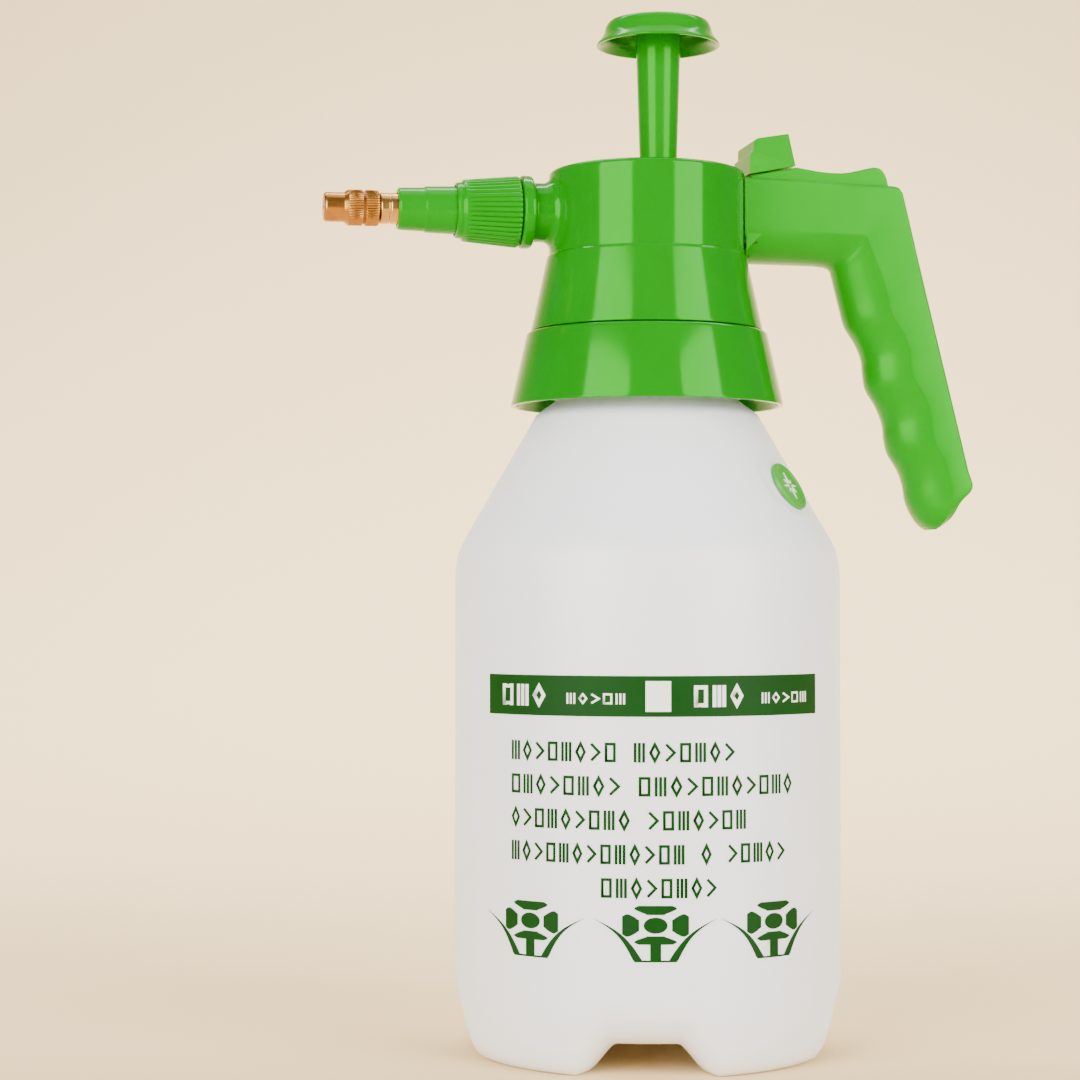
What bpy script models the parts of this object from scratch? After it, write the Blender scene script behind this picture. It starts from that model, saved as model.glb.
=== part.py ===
"""Hand pump pressure sprayer: a 1.5 litre bottle with a screwed-on pump head, trigger handle and brass nozzle.

Frame: origin at the centre of the bottle's base, +Z up. The nozzle points along -X and the handle along +X, and
both lie in the XZ plane. Sizes below are in millimetres and become metres where a mesh is made.
"""

import math

import bmesh
import bpy
from mathutils import Matrix, Vector

MM = 0.001
GAP = 0.3
STEPS = 32
SMALL_STEPS = 16
BOTTLE_SEGMENTS = 40

# Bottle
BOTTLE_RADIUS = 57.0
BOTTLE_WALL = 1.3
BOTTLE_TURN_DEG = -13.0
WALL_FOOT_Z = 24.0
SHOULDER_Z = 144.0
SHOULDER_TOP_RADIUS = 33.0
SHOULDER_TOP_Z = 186.5
NECK_RADIUS = 27.0
NECK_BASE_Z = 191.5
NECK_RIM_Z = 203.1
THREAD_HEIGHT = 1.3
THREAD_HALF_WIDTH = 0.8
NECK_THREAD_Z = (193.7, 197.7)
COLLAR_THREAD_Z = (195.7, 199.7)
BASE_CENTRE_Z = 13.2
FEET = 4
FOOT_FLAT_DEG = 22.0
FOOT_END_DEG = 34.0
BADGE_DEG = -26.0
BADGE_RADIUS = 7.6
BADGE_ALONG_SLOPE = 0.48

# Collar and head
COLLAR_BOTTOM_Z = 189.3
COLLAR_TOP_Z = 211.3
COLLAR_BOTTOM_RADIUS = 40.4
COLLAR_TOP_RADIUS = 35.6
HEAD_BOTTOM_Z = COLLAR_TOP_Z + GAP
HEAD_CONE_RADIUS = 34.4
HEAD_STEP_Z = 233.6
HEAD_STEP_RADIUS = 29.7
HEAD_RADIUS = 29.1
HEAD_TOP_Z = 259.1
HEAD_WALL = 1.8

# Pump, whose axis stands a little towards the handle
PUMP_X = 3.6
CYLINDER_RADIUS = 12.5
CYLINDER_BORE = 11.2
CYLINDER_BOTTOM_Z = 108.0
PLUG_TOP_Z = 216.0
GUIDE_RADIUS = 12.7
GUIDE_BORE = 5.75
ROD_RADIUS = 5.0
ROD_TOP_Z = 255.2
KNOB_RIM_RADIUS = 18.4
KNOB_RIM_Z = 297.4
KNOB_TOP_Z = 304.4
STALK_TOP_RADIUS = 6.7
STALK_BOTTOM_RADIUS = 5.35

# Liquid line
TUBE_X = 21.0
TUBE_RADIUS = 2.5
HOSE_RADIUS = 2.0
HOSE_WALL = 0.6
VALVE_X = 44.0
VALVE_RADIUS = 5.0
VALVE_BOTTOM_Z = 236.3
VALVE_TOP_Z = 244.5
STEM_RADIUS = 1.6
STEM_TOP_Z = 252.0

# Handle, seen from the side as (x, z)
HANDLE_WIDTH = 22.4
HANDLE_WALL = 1.6
BEAM_START_X = 27.0
LEVER_SLOT = 9.5
PIVOT_X = 31.5
PIVOT_Z = 254.8
PIN_RADIUS = 1.5
LEVER_WIDTH = 18.4
LOCK_NECK_X = (34.8, 36.9)
SCREW_PLACES = ((66.9, 243.6), (74.6, 214.0), (87.4, 172.0))
POST_RADIUS = 4.3
PILOT_RADIUS = 1.4
FIXING_Y = 8.6
FIXING_Z = 238.5

# Nozzle, turned about a line along -X
NOZZLE_Z = 246.3


def material(name, colour, roughness, metallic=0.0):
    """A plain Principled material."""
    made = bpy.data.materials.new(name)
    made.use_nodes = True
    shader = made.node_tree.nodes["Principled BSDF"]
    shader.inputs["Base Color"].default_value = (*colour, 1.0)
    shader.inputs["Roughness"].default_value = roughness
    shader.inputs["Metallic"].default_value = metallic
    return made


def clear_scene():
    for obj in list(bpy.data.objects):
        bpy.data.objects.remove(obj, do_unlink=True)


def new_collection(name, hidden=False):
    made = bpy.data.collections.new(name)
    made.hide_render = hidden
    bpy.context.scene.collection.children.link(made)
    return made


def place(mesh, name, finish=None, turn=None, at=(0, 0, 0)):
    """Puts a mesh in the sprayer's collection, or in the cutters' when it has no finish."""
    obj = bpy.data.objects.new(name, mesh)
    obj.location = Vector(at) * MM
    if turn is not None:
        obj.rotation_euler = turn
    if finish is None:
        CUTTERS.objects.link(obj)
        obj.hide_render = True
        obj.display_type = "WIRE"
    else:
        SPRAYER.objects.link(obj)
        obj.data.materials.append(finish)
    return obj


def finish_shading(obj):
    obj.data.shade_smooth()
    obj.data.set_sharp_from_angle(angle=math.radians(35))


def turned(name, profile, finish=None, at=(0, 0, 0), turn=None, steps=STEPS):
    """A closed profile of (radius, height), outer side from top to bottom, spun about the object's own Z."""
    points = [Vector((radius, 0, height)) * MM for radius, height in profile]
    mesh = bpy.data.meshes.new(name)
    edges = [(i, i + 1) for i in range(len(points) - 1)]
    open_on_axis = profile[0][0] == 0 and profile[-1][0] == 0
    if not open_on_axis:
        edges.append((len(points) - 1, 0))
    mesh.from_pydata(points, edges, [])
    obj = place(mesh, name, finish, turn, at)
    spin = obj.modifiers.new("spin", "SCREW")
    spin.axis = "Z"
    spin.angle = math.tau
    spin.steps = steps
    spin.render_steps = steps
    spin.use_merge_vertices = True
    spin.merge_threshold = 0.00001
    spin.use_smooth_shade = finish is not None
    return obj


ALONG_MINUS_X = (0, -math.pi / 2, 0)
ALONG_X = (0, math.pi / 2, 0)
ALONG_Y = (-math.pi / 2, 0, 0)


def turned_on_nozzle(name, profile, finish=None, steps=SMALL_STEPS):
    """As turned(), about the nozzle's line: heights are distances along -X from the bottle's axis."""
    return turned(name, profile, finish, at=(0, 0, NOZZLE_Z), turn=ALONG_MINUS_X, steps=steps)


def ring_profile(inner, outer, bottom, top):
    return [(outer, top), (outer, bottom), (inner, bottom), (inner, top)]


def cylinder(name, radius, bottom, top, at=(0, 0, 0), turn=None, finish=None, steps=SMALL_STEPS):
    """A solid cylinder from its primitive, between two heights on its own axis."""
    shape = bmesh.new()
    bmesh.ops.create_cone(
        shape,
        cap_ends=True,
        segments=steps,
        radius1=radius * MM,
        radius2=radius * MM,
        depth=(top - bottom) * MM,
        matrix=Matrix.Translation((0, 0, (top + bottom) / 2 * MM)),
    )
    mesh = bpy.data.meshes.new(name)
    shape.to_mesh(mesh)
    shape.free()
    return place(mesh, name, finish, turn, at)


def box(name, low, high, finish=None):
    """A box between two corners."""
    low, high = Vector(low) * MM, Vector(high) * MM
    shape = bmesh.new()
    size = Matrix.Diagonal((*(high - low), 1.0))
    bmesh.ops.create_cube(shape, size=1.0, matrix=Matrix.Translation((low + high) / 2) @ size)
    mesh = bpy.data.meshes.new(name)
    shape.to_mesh(mesh)
    shape.free()
    return place(mesh, name, finish)


def prism(name, outline, half_width, finish=None, bevel=0.0):
    """A side outline of (x, z), counter-clockwise seen from -Y, as thick as twice half_width."""
    shape = bmesh.new()
    corners = [shape.verts.new(Vector((x, -half_width, z)) * MM) for x, z in outline]
    face = shape.faces.new(corners)
    grown = bmesh.ops.extrude_face_region(shape, geom=[face])
    moved = [item for item in grown["geom"] if isinstance(item, bmesh.types.BMVert)]
    bmesh.ops.translate(shape, verts=moved, vec=(0, 2 * half_width * MM, 0))
    bmesh.ops.recalc_face_normals(shape, faces=shape.faces)
    mesh = bpy.data.meshes.new(name)
    shape.to_mesh(mesh)
    shape.free()
    obj = place(mesh, name, finish)
    if bevel:
        rounding = obj.modifiers.new("rounding", "BEVEL")
        rounding.width = bevel * MM
        rounding.segments = 2
        rounding.limit_method = "ANGLE"
        rounding.angle_limit = math.radians(50)
    return obj


def combine(obj, other, operation, solver):
    """Cuts or joins another object, keeping it as a hidden helper."""
    step = obj.modifiers.new(other.name, "BOOLEAN")
    step.operation = operation
    step.solver = solver
    step.object = other


def cut(obj, *others, solver="EXACT"):
    for other in others:
        combine(obj, other, "DIFFERENCE", solver)
    return obj


def join(obj, *others, solver="EXACT"):
    for other in others:
        combine(obj, other, "UNION", solver)
    return obj


def smooth_route(points, count):
    """Evenly placed points on a smooth curve through the given ones."""
    points = [Vector(point) for point in points]
    ends = [2 * points[0] - points[1], *points, 2 * points[-1] - points[-2]]
    spans = len(points) - 1
    route = []
    for step in range(count):
        place_on = step * spans / (count - 1)
        span = min(int(place_on), spans - 1)
        t = place_on - span
        a, b, c, d = ends[span : span + 4]
        bend, twist = 2 * a - 5 * b + 4 * c - d, 3 * b - a - 3 * c + d
        route.append(0.5 * (2 * b + (c - a) * t + bend * t**2 + twist * t**3))
    return route


def tube(name, route, radius, wall, finish):
    """A hollow hose of a round section along a route."""
    curve = bpy.data.curves.new(name, "CURVE")
    curve.dimensions = "3D"
    curve.bevel_depth = radius * MM
    curve.bevel_resolution = 1
    curve.use_fill_caps = wall == 0
    line = curve.splines.new("POLY")
    line.points.add(len(route) - 1)
    for point, target in zip(line.points, route):
        point.co = (*(Vector(target) * MM), 1.0)
    obj = bpy.data.objects.new(name, curve)
    SPRAYER.objects.link(obj)
    curve.materials.append(finish)
    if wall:
        thick = obj.modifiers.new("wall", "SOLIDIFY")
        thick.thickness = wall * MM
        thick.offset = -1.0
    return obj


# Bottle ----------------------------------------------------------------------------------------------------


def foot_share(angle):
    """1 over a foot, 0 in the valley between two feet, smooth between."""
    pitch = math.tau / FEET
    off = abs((angle % pitch) - pitch / 2)
    t = (math.degrees(off) - FOOT_FLAT_DEG) / (FOOT_END_DEG - FOOT_FLAT_DEG)
    t = min(max(t, 0.0), 1.0)
    return 1.0 - t * t * (3 - 2 * t)


def bottle_rings():
    """(foot radius, foot height, valley radius, valley height) of each ring, from the rim down to the base."""
    rings = [(NECK_RADIUS, NECK_RIM_Z)]
    for z in reversed(NECK_THREAD_Z):
        crest = NECK_RADIUS + THREAD_HEIGHT
        rings += [(NECK_RADIUS, z + THREAD_HALF_WIDTH), (crest, z), (NECK_RADIUS, z - THREAD_HALF_WIDTH)]
    rings += [(NECK_RADIUS, NECK_BASE_Z), (SHOULDER_TOP_RADIUS - 3.0, NECK_BASE_Z - 2.2)]
    rings += [(SHOULDER_TOP_RADIUS, SHOULDER_TOP_Z), (BOTTLE_RADIUS - 1.6, SHOULDER_Z + 3.6)]
    rings += [(BOTTLE_RADIUS, SHOULDER_Z), (BOTTLE_RADIUS, WALL_FOOT_Z)]
    round_rings = [(r, z, r, z) for r, z in rings]
    base = [
        (BOTTLE_RADIUS, 15.5, BOTTLE_RADIUS, 19.5),
        (55.6, 7.5, 55.2, 15.0),
        (53.4, 2.4, 52.0, 11.2),
        (50.0, 0.0, 48.0, 9.0),
        (43.5, 0.0, 42.0, 8.6),
        (36.0, 4.2, 35.0, 9.2),
        (26.0, 10.0, 26.0, 10.4),
        (14.0, 12.4, 14.0, 12.4),
    ]
    return round_rings + base


def make_bottle():
    """A blown shell: rings lofted from the rim to the four-footed base, then given its wall."""
    segments = BOTTLE_SEGMENTS
    shape = bmesh.new()
    loops = []
    for foot_r, foot_z, valley_r, valley_z in bottle_rings():
        loop = []
        for step in range(segments):
            angle = math.tau * step / segments
            share = foot_share(angle - math.radians(BOTTLE_TURN_DEG))
            radius = valley_r + (foot_r - valley_r) * share
            height = valley_z + (foot_z - valley_z) * share
            corner = Vector((radius * math.cos(angle), radius * math.sin(angle), height))
            loop.append(shape.verts.new(corner * MM))
        loops.append(loop)
    for upper, lower in zip(loops, loops[1:]):
        for i in range(segments):
            j = (i + 1) % segments
            shape.faces.new((upper[i], lower[i], lower[j], upper[j]))
    centre = shape.verts.new(Vector((0, 0, BASE_CENTRE_Z)) * MM)
    for i in range(segments):
        shape.faces.new((loops[-1][(i + 1) % segments], loops[-1][i], centre))
    mesh = bpy.data.meshes.new("bottle")
    shape.to_mesh(mesh)
    shape.free()
    bottle = place(mesh, "bottle", WHITE_PE)
    wall = bottle.modifiers.new("wall", "SOLIDIFY")
    wall.thickness = BOTTLE_WALL * MM
    wall.offset = -1.0
    finish_shading(bottle)


def make_collar():
    """The nut that holds the head on: an outer skirt and a threaded sleeve, joined by a web at the top."""
    sleeve_bore = NECK_RADIUS + THREAD_HEIGHT + 0.4
    crest = NECK_RADIUS + 0.4
    profile = [
        (COLLAR_TOP_RADIUS - 1.4, COLLAR_TOP_Z),
        (COLLAR_TOP_RADIUS - 0.3, COLLAR_TOP_Z - 0.5),
        (COLLAR_TOP_RADIUS + 0.1, COLLAR_TOP_Z - 1.6),
        (COLLAR_BOTTOM_RADIUS, COLLAR_BOTTOM_Z + 0.8),
        (COLLAR_BOTTOM_RADIUS, COLLAR_BOTTOM_Z),
        (COLLAR_BOTTOM_RADIUS - 1.4, COLLAR_BOTTOM_Z),
        (COLLAR_TOP_RADIUS - 1.5, COLLAR_TOP_Z - 2.8),
        (31.0, COLLAR_TOP_Z - 2.8),
        (31.0, NECK_BASE_Z + 0.7),
        (sleeve_bore, NECK_BASE_Z + 0.7),
    ]
    for z in COLLAR_THREAD_Z:
        profile += [(sleeve_bore, z - THREAD_HALF_WIDTH - 0.1), (crest, z - THREAD_HALF_WIDTH + 0.4)]
        profile += [(crest, z + THREAD_HALF_WIDTH - 0.4), (sleeve_bore, z + THREAD_HALF_WIDTH + 0.1)]
    profile += [(sleeve_bore, COLLAR_TOP_Z - 2.8), (26.4, COLLAR_TOP_Z - 2.8), (26.4, COLLAR_TOP_Z)]
    turned("screw_collar", profile, GREEN)


def make_badge():
    """A round badge that lies on the shoulder's slope."""
    low = Vector((BOTTLE_RADIUS, 0, SHOULDER_Z))
    high = Vector((SHOULDER_TOP_RADIUS, 0, SHOULDER_TOP_Z))
    slope = (high - low).normalized()
    outward = Vector((slope.z, 0, -slope.x))
    middle = low.lerp(high, BADGE_ALONG_SLOPE)
    around = math.radians(BOTTLE_TURN_DEG + BADGE_DEG)
    spin = Matrix.Rotation(around, 3, "Z")
    badge = cylinder("shoulder_badge", BADGE_RADIUS, GAP, GAP + 0.7, finish=GREEN, steps=20)
    badge.location = spin @ middle * MM
    badge.rotation_euler = (spin @ outward).to_track_quat("Z", "Y").to_euler()


# Head and pump ---------------------------------------------------------------------------------------------


def make_neck_plug():
    """The flange clamped on the neck's rim, with the pump's bore and the dip tube's passage."""
    rim = NECK_RIM_Z
    profile = [
        (0, PLUG_TOP_Z),
        (31.5, PLUG_TOP_Z),
        (31.5, PLUG_TOP_Z - 2.8),
        (26.0, PLUG_TOP_Z - 2.8),
        (26.0, rim + 5.1),
        (28.0, rim + 5.1),
        (28.0, rim + 2.1),
        (25.3, rim + 2.1),
        (25.3, rim - 3.1),
        (0, rim - 3.1),
    ]
    plug = turned("neck_plug", profile, GREY)
    bore = cylinder("pump_bore_cutter", CYLINDER_RADIUS + GAP, 190, 225, at=(PUMP_X, 0, 0), steps=STEPS)
    passage = cylinder("tube_passage_cutter", TUBE_RADIUS + GAP, 190, 225, at=(TUBE_X, 0, 0))
    cut(plug, bore, passage)
    turned("neck_gasket", ring_profile(25.6, 27.6, rim + GAP, rim + 1.8), RUBBER)


def make_pump():
    """Cylinder with its check valve, and the guide that closes it at the top of the head."""
    at = (PUMP_X, 0, 0)
    flange_z = PLUG_TOP_Z + 1.6
    low = CYLINDER_BOTTOM_Z
    profile = [
        (14.9, flange_z + 1.8),
        (14.9, flange_z),
        (CYLINDER_RADIUS, flange_z),
        (CYLINDER_RADIUS, low),
        (1.8, low),
        (1.8, low + 2.0),
        (CYLINDER_BORE, low + 2.0),
        (CYLINDER_BORE, flange_z + 1.8),
    ]
    tube_wall = turned("pump_cylinder", profile, GREY, at, steps=24)
    for corner in range(4):
        angle = math.tau * corner / 4
        hole_at = (PUMP_X + 5 * math.cos(angle), 5 * math.sin(angle), 0)
        cut(tube_wall, cylinder(f"air_hole_cutter_{corner}", 1.2, low - 2, low + 4, at=hole_at, steps=8))
    gasket = ring_profile(CYLINDER_RADIUS + GAP, 14.9, PLUG_TOP_Z + GAP, flange_z - GAP)
    turned("cylinder_gasket", gasket, RUBBER, at, steps=24)
    umbrella = [
        (0, low + 3.6),
        (2.6, low + 3.3),
        (2.6, low + 2.3),
        (1.4, low + 2.3),
        (1.4, low - 0.4),
        (8.2, low - 0.7),
        (8.2, low - 1.4),
        (0, low - 2.2),
    ]
    turned("check_valve", umbrella, RUBBER, at, steps=16)
    top = HEAD_TOP_Z + GAP
    guide = [
        (14.8, top + 1.4),
        (15.5, top + 0.8),
        (15.5, top),
        (GUIDE_RADIUS, top),
        (GUIDE_RADIUS, flange_z + 2.1),
        (CYLINDER_BORE, flange_z + 2.1),
        (CYLINDER_BORE, top - 2.4),
        (GUIDE_BORE, top - 2.4),
        (GUIDE_BORE, top + 1.4),
    ]
    turned("pump_guide", guide, GREEN, at, steps=24)


def make_plunger():
    """Knob, rod and piston, which slide up together."""
    at = (PUMP_X, 0, 0)
    rim, top = KNOB_RIM_Z, KNOB_TOP_Z
    knob = [
        (0, top),
        (14.2, top),
        (15.3, top - 0.9),
        (15.9, top - 2.6),
        (16.9, top - 5.2),
        (KNOB_RIM_RADIUS, rim + 0.3),
        (KNOB_RIM_RADIUS, rim - 0.4),
        (17.5, rim - 0.4),
        (15.4, top - 5.4),
        (14.4, top - 1.9),
        (7.9, top - 1.9),
        (7.1, top - 3.0),
        (STALK_TOP_RADIUS, top - 5.4),
        (STALK_BOTTOM_RADIUS, ROD_TOP_Z + GAP),
        (3.5, ROD_TOP_Z + GAP),
        (3.5, ROD_TOP_Z + 15.3),
        (0, ROD_TOP_Z + 15.3),
    ]
    turned("pump_knob", knob, GREEN, at, steps=24)
    foot = 126.0
    rod = [
        (0, ROD_TOP_Z + 15.0),
        (3.2, ROD_TOP_Z + 15.0),
        (3.2, ROD_TOP_Z),
        (ROD_RADIUS, ROD_TOP_Z),
        (ROD_RADIUS, foot),
        (3.0, foot),
        (3.0, foot - 11.5),
        (0, foot - 11.5),
    ]
    turned("pump_rod", rod, GREY, at, steps=16)
    piston = [
        (10.6, foot - GAP),
        (10.6, foot - 2.2),
        (8.6, foot - 2.2),
        (8.6, foot - 5.2),
        (10.6, foot - 5.2),
        (10.6, foot - 7.4),
        (3.3, foot - 7.4),
        (3.3, foot - GAP),
    ]
    turned("piston", piston, GREY, at, steps=20)
    turned("piston_seal", ring_profile(8.9, 10.9, foot - 4.9, foot - 2.5), RUBBER, at, steps=20)
    turned("piston_nut", ring_profile(3.4, 5.2, foot - 10.6, foot - 7.7), GREY, at, steps=12)


def make_head_shell():
    """The two upper tiers and the spout, open at the bottom."""
    wall = HEAD_WALL
    profile = [
        (0, HEAD_TOP_Z),
        (HEAD_RADIUS - 2.2, HEAD_TOP_Z),
        (HEAD_RADIUS - 0.7, HEAD_TOP_Z - 0.7),
        (HEAD_RADIUS, HEAD_TOP_Z - 2.4),
        (HEAD_RADIUS, HEAD_STEP_Z + 0.5),
        (HEAD_STEP_RADIUS - 0.2, HEAD_STEP_Z),
        (HEAD_STEP_RADIUS, HEAD_STEP_Z - 0.8),
        (HEAD_CONE_RADIUS, HEAD_BOTTOM_Z + 0.8),
        (HEAD_CONE_RADIUS, HEAD_BOTTOM_Z),
        (HEAD_CONE_RADIUS - wall, HEAD_BOTTOM_Z),
        (HEAD_STEP_RADIUS - wall, HEAD_STEP_Z - 1.6),
        (HEAD_RADIUS - wall, HEAD_STEP_Z + 0.4),
        (HEAD_RADIUS - wall, HEAD_TOP_Z - wall),
        (0, HEAD_TOP_Z - wall),
    ]
    shell = turned("head_shell", profile, GREEN)
    spout = [
        (0, 52.0),
        (6.6, 52.0),
        (7.4, 51.2),
        (7.4, 38.6),
        (9.9, 38.6),
        (10.75, 37.6),
        (10.75, 35.9),
        (9.9, 34.8),
        (8.7, 34.6),
        (8.7, 27.6),
        (0, 27.6),
    ]
    join(shell, turned_on_nozzle("spout_addition", spout, steps=20))
    cut(shell, turned_on_nozzle("spout_bore_cutter", [(0, 60), (3.4, 60), (3.4, 20), (0, 20)]))
    cut(shell, cylinder("guide_hole_cutter", GUIDE_RADIUS + GAP, 250, 265, at=(PUMP_X, 0, 0), steps=STEPS))
    window = box("hose_window_cutter", (20, -5.2, 234.8), (33, 5.2, 256.0))
    cut(shell, window)
    for side in (-1, 1):
        hole_at = (0, side * FIXING_Y, FIXING_Z)
        cut(shell, cylinder(f"fixing_hole_cutter_{side}", 1.5, 20, 33, hole_at, ALONG_X, steps=10))


# Liquid line -----------------------------------------------------------------------------------------------


def make_liquid_line():
    """Filter, dip tube, hoses and the valve that the lever presses."""
    at = (TUBE_X, 0, 0)
    dip = ring_profile(1.7, TUBE_RADIUS, 19.0, PLUG_TOP_Z - 1.0)
    turned("dip_tube", dip, CLEAR_PE, at, steps=16)
    strainer = [
        (4.6, 30.0),
        (5.0, 29.4),
        (5.0, 15.6),
        (4.0, 15.0),
        (1.6, 15.0),
        (1.6, 18.4),
        (2.8, 18.4),
        (2.8, 30.0),
    ]
    body = turned("dip_filter", strainer, GREY, at, steps=16)
    for level in (22.0, 25.5):
        low, high = (TUBE_X - 7, -1.0, level), (TUBE_X - 3.6, 1.0, level + 1.6)
        slot = box(f"filter_slot_cutter_{level:.0f}", low, high)
        cut(body, slot)
    rise = [
        (TUBE_X, 0, PLUG_TOP_Z - 0.6),
        (TUBE_X, 0, 226),
        (TUBE_X + 1.4, 0, 233),
        (27, 0, 238),
        (38.5, 0, 238.6),
    ]
    tube("supply_tube", smooth_route(rise, 12), HOSE_RADIUS, HOSE_WALL, CLEAR_PE)
    around = [
        (38.5, 0, 243.2),
        (32.0, 0, 243.6),
        (27.0, 1.6, 244.2),
        (22.5, 7.5, 245.0),
        (16.0, 14.5, 245.8),
        (5.0, 19.0, 246.3),
        (-8.0, 17.0, 246.3),
        (-16.5, 9.5, 246.3),
        (-21.5, 2.8, 246.3),
        (-27.0, 0, 246.3),
        (-33.5, 0, 246.3),
        (-46.0, 0, 246.3),
    ]
    tube("delivery_tube", smooth_route(around, 26), HOSE_RADIUS, HOSE_WALL, CLEAR_PE)


def make_valve():
    """Body, stem, spring and seal, upright under the lever."""
    at = (VALVE_X, 0, 0)
    low, top = VALVE_BOTTOM_Z, VALVE_TOP_Z
    bore = STEM_RADIUS + GAP
    body = [
        (VALVE_RADIUS, top),
        (VALVE_RADIUS, low),
        (0, low),
        (0, low + 2.2),
        (bore, low + 2.2),
        (bore, top - 2.6),
        (3.6, top - 2.6),
        (3.6, top),
    ]
    turned("valve_body", body, GREY, at, steps=16)
    turned("stem_seal", ring_profile(bore, 3.3, top - 2.3, top - 0.6), RUBBER, at, steps=16)
    stem = [
        (0, STEM_TOP_Z),
        (3.2, STEM_TOP_Z - 0.3),
        (3.2, STEM_TOP_Z - 1.3),
        (STEM_RADIUS, STEM_TOP_Z - 1.3),
        (STEM_RADIUS, low + 4.6),
        (0, low + 4.2),
    ]
    turned("valve_stem", stem, STEEL, at, steps=16)
    wire = 0.35
    bottom, height = top + GAP + wire, STEM_TOP_Z - 1.3 - top - 2 * GAP - 2 * wire
    turns, per_turn = 3, 8
    coil = []
    for step in range(turns * per_turn + 1):
        angle = math.tau * step / per_turn
        rise = bottom + height * step / (turns * per_turn)
        coil.append((VALVE_X + 2.5 * math.cos(angle), 2.5 * math.sin(angle), rise))
    tube("valve_spring", coil, wire, 0, STEEL)


# Handle and trigger ----------------------------------------------------------------------------------------

# Stations down the beam and the grip, as (x, z): the finger side and the crease where the flat side ends. Those of
# the beam and the tip also hold the back edge, and how much of the half width the section keeps.
BEAM_STATIONS = (
    ((BEAM_START_X, 232.7), (BEAM_START_X, 242.8), (BEAM_START_X, 257.1), 1.0),
    ((43.0, 232.6), (45.0, 241.9), (46.0, 256.6), 1.0),
    ((52.5, 232.4), (58.0, 241.3), (62.0, 256.0), 1.0),
    ((56.4, 231.6), (64.2, 240.9), (74.6, 255.6), 1.0),
    ((58.3, 226.0), (66.6, 236.4), (76.9, 251.0), 1.0),
)
GRIP_STATIONS = (
    ((59.8, 220.0), (70.6, 226.4)),
    ((61.4, 214.4), (72.9, 217.4)),
    ((64.6, 209.4), (76.2, 212.0)),
    ((66.6, 204.6), (78.4, 207.0)),
    ((67.1, 200.0), (78.9, 202.4)),
    ((68.0, 195.4), (79.9, 198.2)),
    ((71.2, 190.2), (83.0, 193.0)),
    ((73.2, 185.0), (84.9, 187.8)),
    ((73.7, 180.6), (85.4, 183.0)),
    ((74.8, 176.2), (86.4, 178.8)),
    ((77.8, 171.4), (89.2, 174.0)),
    ((79.5, 166.8), (90.6, 169.2)),
    ((80.4, 161.8), (91.6, 164.0)),
)
TIP_STATIONS = (
    ((82.4, 157.6), (90.6, 158.6), (94.6, 161.4), 0.92),
    ((84.8, 154.6), (89.4, 155.2), (92.4, 156.8), 0.72),
    ((86.8, 153.2), (88.4, 153.3), (89.8, 153.9), 0.4),
)
SECTION_DIRECTION = (0.971, 0.24)
BACK_TOP = (76.4, 252.7)
BACK_LEAN = 0.247
EDGE_ROUND = 1.2
SIDE_GAP = 0.15


def back_of_grip(crease):
    """Where a section through this crease point meets the grip's straight back edge."""
    x, z = crease
    along, rise = SECTION_DIRECTION
    reach = (BACK_TOP[0] + BACK_LEAN * (BACK_TOP[1] - z) - x) / (along + BACK_LEAN * rise)
    return x + along * reach, z + rise * reach


def handle_stations():
    """(finger side, crease, back, share of the half width) from the head to the grip's tip."""
    grip = [(finger, crease, back_of_grip(crease), 1.0) for finger, crease in GRIP_STATIONS]
    return [*BEAM_STATIONS, *grip, *TIP_STATIONS]


def section(station, side, inset, middle):
    """One side of the handle's section, from the back edge round to the finger side."""
    finger, crease, back, share = station
    finger, crease, back = (Vector((x, 0, z)) for x, z in (finger, crease, back))
    inward = (finger - back).normalized()
    finger, back = finger - inward * inset, back + inward * inset
    half = HANDLE_WIDTH / 2 * share - inset
    across = Vector((0, side, 0))
    edge = min(EDGE_ROUND, half / 2)
    points = [back + across * middle, back + across * (half - edge), back + inward * edge + across * half]
    points.append(crease + across * half)
    for step in (1, 2, 3):
        angle = math.radians(90 * step / 4)
        points.append(crease + (finger - crease) * math.sin(angle) + across * half * math.cos(angle))
    points.append(finger + across * middle)
    return points


def loft(name, sections, finish=None):
    """A closed body through sections of equal point counts, with a face across each end."""
    shape = bmesh.new()
    loops = [[shape.verts.new(point * MM) for point in points] for points in sections]
    for first, second in zip(loops, loops[1:]):
        for i in range(len(first)):
            j = (i + 1) % len(first)
            shape.faces.new((first[i], first[j], second[j], second[i]))
    shape.faces.new(loops[0])
    shape.faces.new(loops[-1])
    bmesh.ops.triangulate(shape, faces=shape.faces)
    bmesh.ops.recalc_face_normals(shape, faces=shape.faces)
    mesh = bpy.data.meshes.new(name)
    shape.to_mesh(mesh)
    shape.free()
    return place(mesh, name, finish)


def handle_cavity():
    """The hollow inside both halves, open at the head's end."""
    stations = handle_stations()[: -len(TIP_STATIONS)]
    sections = []
    for station in stations:
        near = section(station, -1, HANDLE_WALL, 0)
        far = section(station, 1, HANDLE_WALL, 0)
        sections.append(near + far[-2:0:-1])
    start = [point - Vector((4, 0, 0)) for point in sections[0]]
    return loft("handle_cavity_cutter", [start, *sections])


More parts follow.
